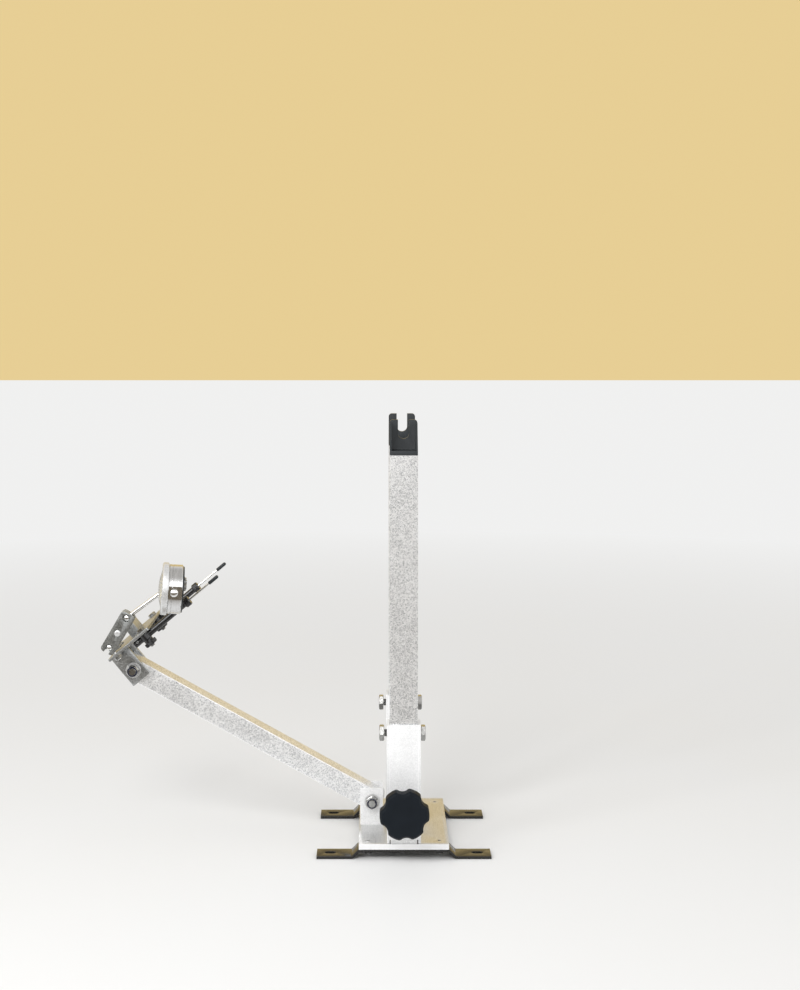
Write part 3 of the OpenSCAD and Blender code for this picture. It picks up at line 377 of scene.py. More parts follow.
def softened(name, finish, node, edge, lighter_sides=False):
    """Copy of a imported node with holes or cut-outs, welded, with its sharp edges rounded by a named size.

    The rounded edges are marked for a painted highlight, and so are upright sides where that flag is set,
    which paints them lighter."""
    flat, steep, upright = math.radians(0.4), math.radians(35), 0.4
    mesh = NODES[node].data.copy()
    mesh.materials.clear()
    for _ in ("face", "edge"):
        mesh.materials.append(None)
    work = bmesh.new()
    work.from_mesh(mesh)
    bmesh.ops.remove_doubles(work, verts=work.verts, dist=1e-6)
    bmesh.ops.dissolve_limit(work, angle_limit=flat, verts=work.verts, edges=work.edges)
    work.to_mesh(mesh)
    work.free()
    holder = bpy.data.objects.new(name, mesh)
    bevel = holder.modifiers.new("Softened edges", "BEVEL")
    bevel.width = size_of(edge) * MM
    bevel.segments = 3
    bevel.limit_method = "ANGLE"
    bevel.angle_limit = steep
    bevel.harden_normals = False
    bevel.material = 1
    shaped = evaluated(holder)
    bpy.data.meshes.remove(mesh)
    rounded = read(shaped.polygons, "material_index", 1, np.int32)[:, 0]
    sides = np.abs(read(shaped.polygons, "normal")[:, 2]) < upright
    mark_edges(shaped, (rounded == 1) | (lighter_sides & sides))
    shaped.polygons.foreach_set("material_index", np.zeros_like(rounded))
    show(name, shaped, finish, node)


class Value:
    """A shader value: arithmetic on it adds Math nodes, with plain numbers on either side."""

    def __init__(self, tree, socket):
        self.tree = tree
        self.socket = socket

    def math(self, operation, first, second):
        return self.tree.node("ShaderNodeMath", {0: first, 1: second}, operation=operation)

    def __add__(self, other):
        return self.math("ADD", self, other)

    def __sub__(self, other):
        return self.math("SUBTRACT", self, other)

    def __rsub__(self, other):
        return self.math("SUBTRACT", other, self)

    def __mul__(self, other):
        return self.math("MULTIPLY", self, other)

    __radd__ = __add__
    __rmul__ = __mul__

    def ramp(self, low, high):
        """0 below low, 1 above high, and a straight line between."""
        sockets = {"Value": self, "From Min": low, "From Max": high}
        return self.tree.node("ShaderNodeMapRange", sockets, clamp=True)


class Tree:
    """A node tree under construction."""

    def __init__(self, tree):
        self.tree = tree

    def feed(self, socket, value):
        """Links a value to a socket, or sets a plain number or colour on it."""
        if isinstance(value, Value):
            self.tree.links.new(value.socket, socket)
        else:
            socket.default_value = value

    def node(self, kind, sockets=None, output=0, **settings):
        """Adds any node: its settings first, then the numbers or links of its sockets."""
        made = self.tree.nodes.new(kind)
        for key, value in settings.items():
            setattr(made, key, value)
        for key, value in (sockets or {}).items():
            self.feed(made.inputs[key], value)
        return None if output is None else Value(self, made.outputs[output])

    def ray(self, kind):
        """1 for rays of that kind."""
        return self.node("ShaderNodeLightPath", output=f"Is {kind} Ray")

    def part(self, vector, axis):
        """One coordinate of a vector."""
        return self.node("ShaderNodeSeparateXYZ", {"Vector": vector}, axis)

    def blend(self, mask, low, high):
        """Blends two shaders by a mask."""
        return self.node("ShaderNodeMixShader", {0: mask, 1: low, 2: high})

    def mix(self, mask, low, high):
        """Blends two colours by a mask."""
        low, high = (colour if isinstance(colour, Value) else (*colour, 1) for colour in (low, high))
        return self.node("ShaderNodeMix", {0: mask, 6: low, 7: high}, 2, data_type="RGBA")

    def at(self, stretch=(1, 1, 1), turn=(0, 0, 0)):
        """Object coordinates, turned and stretched."""
        point = self.node("ShaderNodeTexCoord", output="Object")
        return self.node("ShaderNodeMapping", {"Vector": point, "Rotation": turn, "Scale": stretch})

    def noise(self, scale, where=None, detail=3.0, rough=0.6):
        """Fractal noise from 0 to 1, with a scale in cells per metre."""
        sockets = {"Vector": where or self.at(), "Scale": scale, "Detail": detail, "Roughness": rough}
        return self.node("ShaderNodeTexNoise", sockets)

    def cells(self, scale):
        """One random number for every cell of a crystal pattern."""
        colour = self.node("ShaderNodeTexVoronoi", {"Vector": self.at(), "Scale": scale}, "Color")
        return self.node("ShaderNodeSeparateColor", {"Color": colour})


class Finish(Tree):
    """A material under construction round one Principled shader."""

    def __init__(self, name, **constants):
        self.material = bpy.data.materials.new(name)
        self.material.use_nodes = True
        super().__init__(self.material.node_tree)
        self.shader = self.tree.nodes["Principled BSDF"]
        self.set(**constants)

    def set(self, **values):
        """Sets or feeds the shader's sockets, whose names are written with underscores."""
        for key, value in values.items():
            self.feed(self.shader.inputs[key.replace("_", " ").title().replace("Ior", "IOR")], value)
        return self

    def worn(self, cover, face, highlight_colour, metallic):
        """Colours the faces and paints a highlight on rounded edges: lighter, and less metallic so that they
        show white; gives the edges.
        """
        edge = self.node("ShaderNodeAttribute", output="Fac", attribute_name="edge")
        self.set(base_color=self.mix(cover * edge, face, highlight_colour))
        self.set(metallic=metallic - 0.75 * metallic * edge if metallic else 0.0)
        return edge

    def bump(self, height, depth, strength):
        """Raises the surface by a height from 0 to 1 times a depth in millimetres."""
        sockets = {"Height": height, "Distance": depth * MM, "Strength": strength}
        return self.set(normal=self.node("ShaderNodeBump", sockets))

    def plain(self):
        """What the Principled shader gives."""
        return Value(self, self.shader.outputs[0])

    def surface(self, shader):
        """Puts another shader in the Principled one's place."""
        self.feed(self.tree.nodes["Material Output"].inputs["Surface"], shader)
        return self


def shade(colour, factor):
    """A colour made lighter or darker."""
    return tuple(min(channel * factor, 1.0) for channel in colour)


def blasted(name, colour, rough, sparkle, metallic):
    """Bead-blasted aluminium: crystal cells and fine noise lighten and darken it, with a grainy bump."""
    finish = Finish(name)
    crystals, grit, patches = 1000, 1250, 35
    grain = 0.4 * finish.cells(crystals) + 0.6 * finish.noise(grit).ramp(0.25, 0.75)
    cloud = finish.noise(patches, detail=4)
    tone = (grain - 0.5) * sparkle + (cloud - 0.5) * 0.4 + 0.72
    face = finish.mix(tone.ramp(0, 1), shade(colour, 0.5), shade(colour, 1.4))
    # Painted highlight: rounded edges are lighter, less metallic and glossier.
    edge = finish.worn(0.8, face, shade(colour, 1.3), metallic)
    finish.set(roughness=rough + (grain - 0.5) * 0.2 + (cloud - 0.5) * 0.1 - 0.1 * edge)
    return finish.bump(grain, 0.05, 0.6).material


def brushed(name, colour, rough, wear, metallic, stretch, turn=(0, 0, 0)):
    """Brushed or milled metal: noise drawn out one way, with blotches, scratches and a painted highlight on
    its edges.
    """
    finish = Finish(name)
    strokes, smears, blotches, scratches = 1400, 45, 700, 260
    lines = finish.noise(strokes, finish.at(stretch, turn), detail=4, rough=0.7)
    smudge = finish.noise(smears, detail=5)
    blots = finish.noise(blotches).ramp(0.3, 0.7)
    askew = finish.at((1, 0.08, 1), (0.3, 0.4, 0.9))
    marks = finish.noise(scratches, askew, detail=2).ramp(0.66, 0.74)
    tone = 0.5 + (lines - 0.5) * 0.7 + (smudge - 0.5 + (blots - 0.5) * 0.8 - marks * 0.25) * wear
    face = finish.mix(tone.ramp(0, 1), shade(colour, 0.45), shade(colour, 1.55))
    # Painted highlight: rounded edges and marked sides are lighter and less metallic.
    finish.worn(0.85, face, shade(colour, 2.2), metallic)
    finish.set(roughness=rough + (lines - 0.5) * 0.22 + (smudge - 0.5) * 0.25)
    return finish.bump(lines, 0.02, 0.5).material


def plated(name, colour, rough, tarnish):
    """Plated or polished steel: soft darker clouds and a faint orange peel."""
    finish = Finish(name, metallic=1.0)
    clouds, film, peel = 160, 500, 900
    cloud = finish.noise(clouds, detail=4).ramp(0.35, 0.7)
    finish.set(base_color=finish.mix(cloud, colour, shade(colour, tarnish)))
    finish.set(roughness=rough + (finish.noise(film, detail=2) - 0.5) * 0.18)
    return finish.bump(finish.noise(peel, detail=2), 0.01, 0.4).material


def painted(name, colour, rough, gloss):
    """Gloss black on steel: a wavy smooth surface, with pale dust that dulls it."""
    finish = Finish(name, metallic=0.0, specular_ior_level=gloss)
    specks, waves = 90, 420
    dust = finish.noise(specks, detail=6)
    finish.set(base_color=finish.mix(dust.ramp(0.5, 0.8), colour, shade(colour, 2.2)))
    finish.set(roughness=rough + dust * 0.12)
    return finish.bump(finish.noise(waves, detail=2), 0.03, 0.5).material


def moulded(name, colour, rough, grain, gloss):
    """Moulded plastic: a fine pebbled grain and slight clouding."""
    finish = Finish(name, metallic=0.0, specular_ior_level=gloss)
    pebble = finish.noise(grain, detail=2)
    cloud = finish.noise(60, detail=4)
    finish.set(base_color=finish.mix(cloud, shade(colour, 0.8), shade(colour, 1.3)))
    finish.set(roughness=rough + (cloud - 0.5) * 0.15 + (pebble - 0.5) * 0.1)
    return finish.bump(pebble, 0.05, 0.5).material


def printed(name, colour):
    """Lacquered scale: near white with a faint mottle under a smooth coat."""
    finish = Finish(name, metallic=0.0, coat_weight=0.4)
    mottle = finish.noise(300)
    base = finish.mix(mottle, shade(colour, 0.96), colour)
    return finish.set(base_color=base, roughness=0.35 + mottle * 0.1).material


def clear(name, colour):
    """Clear acrylic with faint haze, which light from lamps passes straight through."""
    finish = Finish(name, base_color=(*colour, 1), transmission_weight=1.0, ior=1.46)
    finish.set(roughness=0.02 + finish.noise(80, detail=4) * 0.04)
    passed = finish.node("ShaderNodeBsdfTransparent", {"Color": (*colour, 1)})
    return finish.surface(finish.blend(finish.ray("Shadow"), finish.plain(), passed)).material


# Each finish: its maker, the material's name, its colour, and the numbers that the maker asks for.
FINISHES = {
    "tube": (blasted, "blasted tube", "tube", 0.38, 2.0, 0.75),
    "sleeve": (blasted, "blasted sleeve", "sleeve", 0.55, 0.5, 0.0),
    "block": (blasted, "blasted block", "bracket", 0.38, 1.1, 0.75),
    "plate": (brushed, "milled plate", "plate", 0.34, 0.3, 0.85, (1, 0.05, 1)),
    "bracket": (brushed, "worn bracket", "bracket", 0.34, 1.2, 0.9, (0.08, 1, 1), (0, 0.7, 0)),
    "bar": (brushed, "milled bar", "bracket", 0.36, 0.45, 0.9, (1, 0.05, 1)),
    "link": (brushed, "brushed link", "link", 0.36, 0.8, 0.9, (0.06, 1, 1), (0, 1.04, 0)),
    "nut": (brushed, "machined nut", "nut", 0.35, 0.3, 0.9, (1, 0.05, 1)),
    "dial": (brushed, "turned dial", "chrome", 0.16, 0.1, 1.0, (1, 0.05, 0.05), (0, 0, 0.14)),
    "satin": (brushed, "satin bezel", "chrome", 0.34, 0.1, 0.45, (0.05, 1, 1)),
    "zinc": (plated, "zinc plate", "zinc", 0.22, 0.6),
    "chrome": (plated, "polished steel", "chrome", 0.10, 0.93),
    "foot": (painted, "gloss black", "foot", 0.12, 0.42),
    "oxide": (painted, "black oxide", "oxide", 0.06, 0.55),
    "plastic": (moulded, "moulded black", "plastic", 0.38, 1500, 0.35),
    "knob": (moulded, "matte black", "knob", 0.5, 900, 0.12),
    "nylon": (moulded, "lock ring", "nylon", 0.35, 1200, 0.5),
    "ink": (moulded, "dial ink", "ink", 0.4, 2000, 0.5),
    "paper": (printed, "dial scale", "paper"),
    "glass": (clear, "crystal", "glass"),
}
MADE = {}


def finish_of(name):
    """The finish of that name, made from the scene's colours the first time."""
    if name not in MADE:
        maker, title, colour, *numbers = FINISHES[name]
        MADE[name] = maker(title, tuple(getattr(bpy.context.scene.stand_colours, colour)), *numbers)
    return MADE[name]


def repaint(finish, *nodes):
    """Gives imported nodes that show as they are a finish."""
    for node in nodes:
        NODES[node].data.materials.clear()
        NODES[node].data.materials.append(finish_of(finish))


def size_of(name):
    """One of the scene's sizes, in millimetres."""
    return round(getattr(bpy.context.scene.stand_sizes, name) / MM, 4)


def tint(label, about, default):
    """A colour that a user may change."""
    return FloatVectorProperty(name=label, description=about, default=default, subtype="COLOR", min=0, max=1)


def amount(label, about, default, **options):
    """A number that a user may change."""
    return FloatProperty(name=label, description=about, default=default, min=0, **options)


def size(label, about, millimetres):
    """A length that a user may change."""
    return amount(label, about, millimetres * MM, unit="LENGTH", precision=5)


def teeth(label, about, default):
    """A number of teeth that a user may change."""
    return IntProperty(name=label, description=about, default=default, min=12, max=240)


class StandColours(bpy.types.PropertyGroup):
    """Colours of the finishes."""

    tube: tint("Tubes", "Bead-blasted aluminium of the masts and the arm", (0.86, 0.885, 0.91))
    sleeve: tint("Sleeves", "Bead-blasted aluminium of the sleeves and the clevis", (0.92, 0.925, 0.925))
    plate: tint("Plate", "Milled aluminium of the base", (0.84, 0.845, 0.835))
    bracket: tint("Bracket", "Bare metal of the gauge head", (0.42, 0.43, 0.43))
    link: tint("Links", "Brushed steel of the ball joint's plates", (0.34, 0.35, 0.345))
    nut: tint("Screw nuts", "Machined nuts on the width screw", (0.62, 0.57, 0.42))
    zinc: tint("Zinc", "Plated fasteners", (0.46, 0.46, 0.45))
    chrome: tint("Polished", "Polished steel of balls, rods and dial", (0.86, 0.86, 0.85))
    foot: tint("Feet", "Gloss paint of the foot bars", (0.012, 0.011, 0.010))
    plastic: tint("Plastic", "Moulded dropouts and tips", (0.022, 0.026, 0.029))
    knob: tint("Knob", "Moulded star knob", (0.008, 0.011, 0.015))
    nylon: tint("Nylon", "Rings of the lock nuts", (0.012, 0.016, 0.05))
    oxide: tint("Black oxide", "Blackened steel of the feelers", (0.012, 0.012, 0.013))
    paper: tint("Scale", "Lacquered dial scale", (0.86, 0.86, 0.83))
    ink: tint("Ink", "Marks, figures and hands of the dial", (0.012, 0.012, 0.013))
    glass: tint("Crystal", "Clear dome of the dial", (0.98, 0.95, 0.85))


class StandSizes(bpy.types.PropertyGroup):
    """Sizes of the finished edges, walls, threads and knurls."""

    knob_radius: size("Knob radius", "Outer radius of the star knob", 26.0)
    knob_bevel: size("Knob bevel", "Bevel round the star knob's face", 2.5)
    knob_neck: size("Knob neck", "Length of the star knob's neck", 3.0)
    knob_collar: size("Knob collar", "Radius of the star knob's neck", 10.0)
    tube_wall: size("Tube wall", "Wall of the masts and the arm", 2.0)
    tube_corner: size("Tube corner", "Corner radius of the square tubes", 0.7)
    tube_edge: size("Tube edge", "Rounding of the sawn tube ends", 0.25)
    sleeve_wall: size("Sleeve wall", "Plates of the sleeves", 2.7)
    plate_edge: size("Plate edge", "Rounding of milled plates", 0.35)
    bend_edge: size("Bracket edge", "Rounding of bent brackets", 0.6)
    link_edge: size("Link edge", "Rounding of the ball joint's plates and windows", 0.7)
    foot_edge: size("Foot edge", "Rounding of the painted foot bars", 0.5)
    cap_edge: size("Dropout edge", "Rounding of the moulded dropouts", 0.5)
    pivot_pitch: size("Pivot thread", "Pitch of the pivot and clamp bolts' threads", 1.25)
    screw_pitch: size("Screw thread", "Pitch of the width screw", 2.0)
    fine_pitch: size("Fine thread", "Pitch of the small screws", 0.8)
    knurl_depth: size("Knurl depth", "Depth of the collars' and thumb nuts' knurls", 0.28)
    bezel_depth: size("Bezel knurl", "Depth of the bezel's teeth", 0.55)
    rim_teeth: teeth("Thumb nut teeth", "Teeth round a thumb nut", 40)
    bezel_teeth: teeth("Bezel teeth", "Teeth that would go once round the bezel", 120)


class StageSettings(bpy.types.PropertyGroup):
    """Floor, backdrop, lamps and camera."""

    floor: tint("Floor", "Colour of the floor", (0.92, 0.92, 0.915))
    backdrop: tint("Backdrop", "Colour behind the stand", (0.8, 0.62, 0.3))
    sky: tint("Sky", "Colour of the light all round", (1, 1, 1))
    front: tint("Front", "Colour that metal shows of the room in front", (0.17, 0.14, 0.1))
    card: amount("Card", "Strength of the white card that metal shows above the front", 1.6)
    ambient: amount("Ambient", "Strength of the light all round", 0.66)
    far: amount("Far floor", "Strength of the even light on the floor far off", 0.95)
    key: amount("Key lamp", "Power of the lamp above the front", 16, unit="POWER")
    left: amount("Left lamp", "Power of the small lamp at the left", 11, unit="POWER")
    fill: amount("Fill lamp", "Power of the large lamp at the right", 4, unit="POWER")
    lens: amount("Lens", "Focal length of the camera", 58.9, unit="CAMERA")
    eye: FloatVectorProperty(
        name="Camera",
        description="Place of the camera",
        default=(-0.0308, -1.801, 0.581),
        subtype="TRANSLATION",
        unit="LENGTH",
    )
    shift: FloatVectorProperty(
        name="Shift", description="Shift of the camera's frame", default=(0.0253, -0.1848), size=2
    )


def pivot_set(place, prefix):
    """Bolt, two washers and lock nut through a bracket, along Y."""
    washers, bolt, nut = (f"{prefix}_pivot_{name}" for name in ("washers", "bolt", "nut"))
    (_, tip, _), (_, top, _) = place.box(bolt)
    _, seat, radius = place.box(washers)[1]
    low, high = place.box(nut)
    flats = min((high - low)[[0, 2]])
    end, ring, shank, thin = low[1], 0.41 * flats, radius / 2.1, 1.6
    grids = [place(washer(shank + 0.1, radius, s * seat, s * (seat - thin)), "y") for s in (-1, 1)]
    skin(f"{prefix}_washers", "satin", washers, *grids)
    head = place(hex_head(flats, seat, top), "y")
    thread = place(threaded(2 * shank, size_of("pivot_pitch"), tip, seat + 0.5), "y")
    skin(f"{prefix}_bolt", "zinc", bolt, head, thread)
    skin(f"{prefix}_lock_nut", "zinc", nut, place(lock_nut(flats, -seat, end, shank, ring), "y"))
    grid = place(washer(shank + 0.05, ring - 0.02, end + 0.45, end + 2.2), "y")
    skin(f"{prefix}_lock_ring", "nylon", None, grid, on=nut, like="star_knob")


class STAND_OT_base(bpy.types.Operator):
    """Base plate, foot bars, clevis, bearing block and their fasteners"""

    bl_idname = "stand.base"
    bl_label = "Base"

    def execute(self, context):
        # The plate's upright sides are marked too, so that they are painted lighter.
        softened("plate_top", "plate", "base_plate", "plate_edge", lighter_sides=True)
        for side in SIDES:
            softened(f"{side}_foot", "foot", f"{side}_foot_bar", "foot_edge")
        softened("clevis", "sleeve", "arm_clevis", "bend_edge")
        softened("bearing", "plate", "bearing_block", "plate_edge")
        self.screws()
        pivot_set(CLEVIS, "arm")
        return {"FINISHED"}

    def screws(self):
        """Foot screws and their nuts, clevis screws and the bearing block's screws."""
        (_, _, low), (_, _, top) = BENCH.box("base_plate")
        (_, _, under), (x, y, over) = BENCH.box("foot_nuts")
        flats, head, radius, socket, floor = 8.0, 2.5, 4.0, 3.0, top + 3.0
        x, y = x - flats / math.sqrt(3), y - flats / 2
        spots = [(sx * x, sy * y, 0) for sx in (-1, 1) for sy in (-1, 1)]
        screw = countersunk(5.0, shank=2.5, start=under - 1, end=top, flats=3.6)
        grids = [BENCH(screw, shift=spot) for spot in spots]
        clevis = sum(BENCH.box("arm_clevis"))[0] / 2
        for middle, apart, seat, end in ((clevis, 7.5, floor, floor + head), (0, 6.5, low, low - head)):
            screw = socket_head(radius, seat, end, socket, fall=0.8)
            grids += [BENCH(screw, shift=(x, 0, 0)) for x in (middle - apart, middle + apart)]
        skin("base_fasteners", "plate", "base_screws", *grids)
        nut = hex_head(flats, under, over, bore=2.55)
        skin("foot_lock_nuts", "oxide", "foot_nuts", *[BENCH(nut, shift=spot) for spot in spots])


class STAND_OT_width_screw(bpy.types.Operator):
    """Lead screw with opposite threads, thrust collars and star knob"""

    bl_idname = "stand.width_screw"
    bl_label = "Width screw"

    def execute(self, context):
        low, high = SCREW.box("lead_screw")
        bar, pitch, plain = 2 * high[0], size_of("screw_pitch"), 14.0
        grids = [
            threaded(bar, pitch, low[1], -plain, hand=-1),
            turned(rod_profile(bar / 2, -plain - 1, plain + 1)),
            threaded(bar, pitch, plain, high[1]),
        ]
        skin("screw", "zinc", "lead_screw", *SCREW.each(grids, "y"))
        radius, end, _ = SCREW.box("thrust_collars")[1]
        block, wide = 8.2, 5.0
        starts = (-block - wide, block, end - wide)
        grids = [SCREW(washer(bar / 2 + 0.05, radius, a, a + wide, edge=0.6), "y") for a in starts]
        skin("collars", "link", "thrust_collars", *grids)
        self.knob()
        return {"FINISHED"}

    def knob(self):
        """Star knob: a scalloped outline on a round neck, with a broad bevel round its flat face."""
        low, high = SCREW.box("star_knob")
        place = Place(SCREW((0, high[1], 0)), RIGHT, UP)
        names = ("radius", "bevel", "neck", "collar")
        radius, bevel, neck, collar = (size_of(f"knob_{name}") for name in names)
        lobes, hollow, depth, corner, turn = 6, 9.0, 3.3, 3.5, math.radians(34)
        deep = high[1] - low[1]
        rim = [(1.6, neck), (0.6, neck + 0.4), (0, neck + 1.2), (0, deep - bevel - 0.3)]
        rim += [(0.12, deep - bevel + 0.2), (bevel - 0.35, deep - 0.3), (bevel - 0.05, deep)]
        body = walls(star(lobes, radius, hollow, depth, corner, turn), rim)
        unit = body[0, :, :2] / np.linalg.norm(body[0, :, :2], axis=1)[:, None]

        def circles(*rows):
            return np.array([np.insert(r * unit, 2, h, axis=1) for r, h in rows])

        start = circles((0, 0), (collar - 0.4, 0), (collar, 0.4), (collar, neck))
        end = circles((collar, deep), (0, deep))
        skin("knob", "knob", "star_knob", place(np.concatenate([start, body, end])))


class STAND_OT_posts(bpy.types.Operator):
    """Shoes, sleeves, clamp bolts, masts and dropouts of both posts"""

    bl_idname = "stand.posts"
    bl_label = "Posts"

    def execute(self, context):
        for side in SIDES:
            softened(f"{side}_slide", "plate", f"{side}_shoe", "plate_edge")
            self.sleeve(side)
            softened(f"{side}_axle_rest", "plastic", f"{side}_dropout", "cap_edge")
            self.mast(side)
            self.bolts(side)
        repaint("nut", "front_screw_nut", "rear_screw_nut")
        return {"FINISHED"}

    def sleeve(self, side):
        """Sleeve of four plates: two sides down to the base, and a front and a back down to the shoe."""
        low, high = BENCH.box(f"{side}_sleeve")
        x, y, _ = (low + high) / 2
        wide, deep, _ = high - low
        wall, foot, top = size_of("sleeve_wall"), BENCH.box(f"{side}_shoe")[1][2] + 0.1, high[2]
        grids = []
        for sign in (-1, 1):
            across, along = sign * (wide - wall) / 2, sign * (deep - wall) / 2
            grids.append(BENCH(slab(wall, deep, low[2], top), shift=(x + across, y, 0)))
            grids.append(BENCH(slab(wide - 2 * wall, wall, foot, top), shift=(x, y + along, 0)))
        skin(f"{side}_socket", "sleeve", f"{side}_sleeve", *grids, worn=True)

    def mast(self, side):
        """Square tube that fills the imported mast's box."""
        low, high = BENCH.box(f"{side}_mast")
        x, y, _ = (low + high) / 2
        wide, deep, _ = high - low
        grid = BENCH(box_tube(wide, deep, low[2], high[2]), shift=(x, y, 0))
        skin(f"{side}_mast_tube", "tube", f"{side}_mast", grid)

    def bolts(self, side):
        """Hexagon clamp bolts: the left one stands backed off, with its thread showing."""
        low, high = BENCH.box(f"{side}_clamp_bolts")
        head, tip, shank, flats = 5.2, 15.3, 8.0, min((high - low)[1:])
        shift = (0, *(low + high)[1:] / 2)
        grids = []
        for end, inward in ((low[0], 1), (high[0], -1)):
            seat = end + inward * head
            grids.append(hex_head(flats, seat, end))
            grids.append(washer(0.3 * flats, 0.54 * flats, seat, seat - inward * 0.6))
            grids.append(threaded(shank, size_of("pivot_pitch"), *sorted((-inward * tip, seat))))
        skin(f"{side}_bolts", "zinc", f"{side}_clamp_bolts", *BENCH.each(grids, "x", shift))


class STAND_OT_arm(bpy.types.Operator):
    """Square arm tube"""

    bl_idname = "stand.arm"
    bl_label = "Arm"

    def execute(self, context):
        low, high = ARM.box("arm_tube")
        _, deep, tall = high - low
        grid = ARM(box_tube(deep, tall, low[0], high[0]), "x")
        skin("arm_square_tube", "tube", "arm_tube", grid, worn=True)
        return {"FINISHED"}


class STAND_OT_head(bpy.types.Operator):
    """Head bracket, gauge bar, block and their fasteners"""

    bl_idname = "stand.head"
    bl_label = "Gauge head"

    def execute(self, context):
        softened("bracket", "bracket", "head_bracket", "bend_edge")
        softened("cross_bar", "bar", "gauge_bar", "plate_edge")
        softened("block", "block", "bar_block", "plate_edge")
        pivot_set(HEAD, "head")
        (_, _, low), (_, _, top) = HEAD.box("gauge_bar")
        radius, head, socket = 3.6, 2.4, 2.6
        grids = []
        for x, apart, seat, end in ((1.75, 8.5, top, top + head), (27, 11, low, low - head)):
            screw = socket_head(radius, seat, end, socket, fall=0.9)
            grids += [HEAD(screw, shift=(x, y, 0)) for y in (-apart, apart)]
        skin("bar_fasteners", "zinc", "bar_screws", *grids)
        self.feeler_bolts(top, context.scene.stand_sizes.rim_teeth)
        return {"FINISHED"}

    def feeler_bolts(self, top, count):
        """Hexagon bolts down through the bar, with knurled thumb nuts below the feelers."""
        flats, shank, bore, radius = 8.0, 5.0, 2.6, 7.0
        bolts, nuts = [], []
        for place in FEELERS.values():
            low, high = place.box("feeler_bolts")
            (_, _, a), (_, _, b) = place.box("thumb_nuts")
            seat = top - (place.origin - HEAD.origin) @ HEAD.axes[2] / MM
            bolts.append(place(hex_head(flats, seat, high[2])))
            bolts.append(place(threaded(shank, size_of("fine_pitch"), low[2], seat + 0.3)))
            step = b - 0.3 * (b - a)
            rim = [(bore, a + 0.5), (radius - 0.3, a + 0.5), (radius, a + 0.9)]
            rim += [(r, a + step - h) for r, h in reversed(rim)]
            boss = [(bore, a + 0.4), (bore + 0.6, a), (radius - 0.7, a), (radius - 0.5, a + 0.5)]
            boss += [(0.72 * radius, step), (0.72 * radius, b - 0.2), (0.68 * radius, b), (bore, b)]
            knurl = straight_knurl(count, size_of("knurl_depth"))
            nuts += [place(ringed(rim, columns=4 * count, ripple=knurl)), place(ringed(boss))]
        skin("feeler_pivots", "zinc", "feeler_bolts", *bolts)
        skin("thumb_wheels", "oxide", "thumb_nuts", *nuts)


class STAND_OT_feelers(bpy.types.Operator):
    """Feeler rods, knurled collars, sliding pointers and tips"""

    bl_idname = "stand.feelers"
    bl_label = "Feelers"

    def execute(self, context):
        for side, place in FEELERS.items():
            low, high = place.box(f"{side}_feeler_rod")
            radius, bore, eye = 3.5, 2.55, 6.0
            rod = place(turned(rod_profile(radius, low[0], high[0], edge=0.5)), "x")
            boss = place(washer(bore, eye, low[2], high[2], edge=0.4))
            skin(f"{side}_rod", "oxide", f"{side}_feeler_rod", rod, boss)
            self.pin(side, place)
            self.collar(side, place)
            low, high = place.box(f"{side}_pointer")
            rod = turned(rod_profile(high[2], low[0], high[0], edge=0.4), columns=24)
            skin(f"{side}_needle_rod", "chrome", f"{side}_pointer", place(rod, "x"))
            self.tip(side, place)
        return {"FINISHED"}

    def pin(self, side, place):
        """Set screw in the outer side of a feeler's tail."""
        out = -1 if side == "front" else 1
        seat, end, spot = 2.6 * out, 3.9 * out, (-10.2, 0, 1.2)
        grid = place(socket_head(1.7, seat, end, flats=1.3, fall=0.5), "y", spot)
        skin(f"{side}_set_screw", "zinc", None, grid, on=f"{side}_feeler_rod", like="feeler_bolts")

    def collar(self, side, place):
        """Diamond-knurled chuck with turned-down ends."""
        (a, _, _), (b, _, radius) = place.box(f"{side}_feeler_collar")
        count, lead, rows, columns = 26, 2.2, 24, 104
        knurl = diamond_knurl(count, lead, size_of("knurl_depth"))
        profile = [(0, a), (radius - 0.8, a), (radius - 0.4, a + 0.5)]
        profile += [(radius, h) for h in np.linspace(a + 0.9, b - 0.9, rows)]
        profile += [(radius - 0.4, b - 0.5), (radius - 0.8, b), (1.4, b), (1.3, b - 1), (0, b - 1)]
        grid = turned(profile, columns, lambda t, h: knurl(t, h) * ((h > a + 0.85) & (h < b - 0.85)))
        skin(f"{side}_chuck", "oxide", f"{side}_feeler_collar", place(grid, "x"))

    def tip(self, side, place):
        """Bullet tip: a short sleeve that ends in a ball."""
        (a, _, _), (b, _, radius) = place.box(f"{side}_pointer_tip")
        nose = arc((0, b - radius), radius, 0, QUARTER, 12)
        profile = [(0, a), (radius - 0.6, a), (radius - 0.15, a + 0.4), (radius, a + 1), *nose]
        grid = place(turned(profile, columns=32), "x")
        skin(f"{side}_nose", "plastic", f"{side}_pointer_tip", grid)


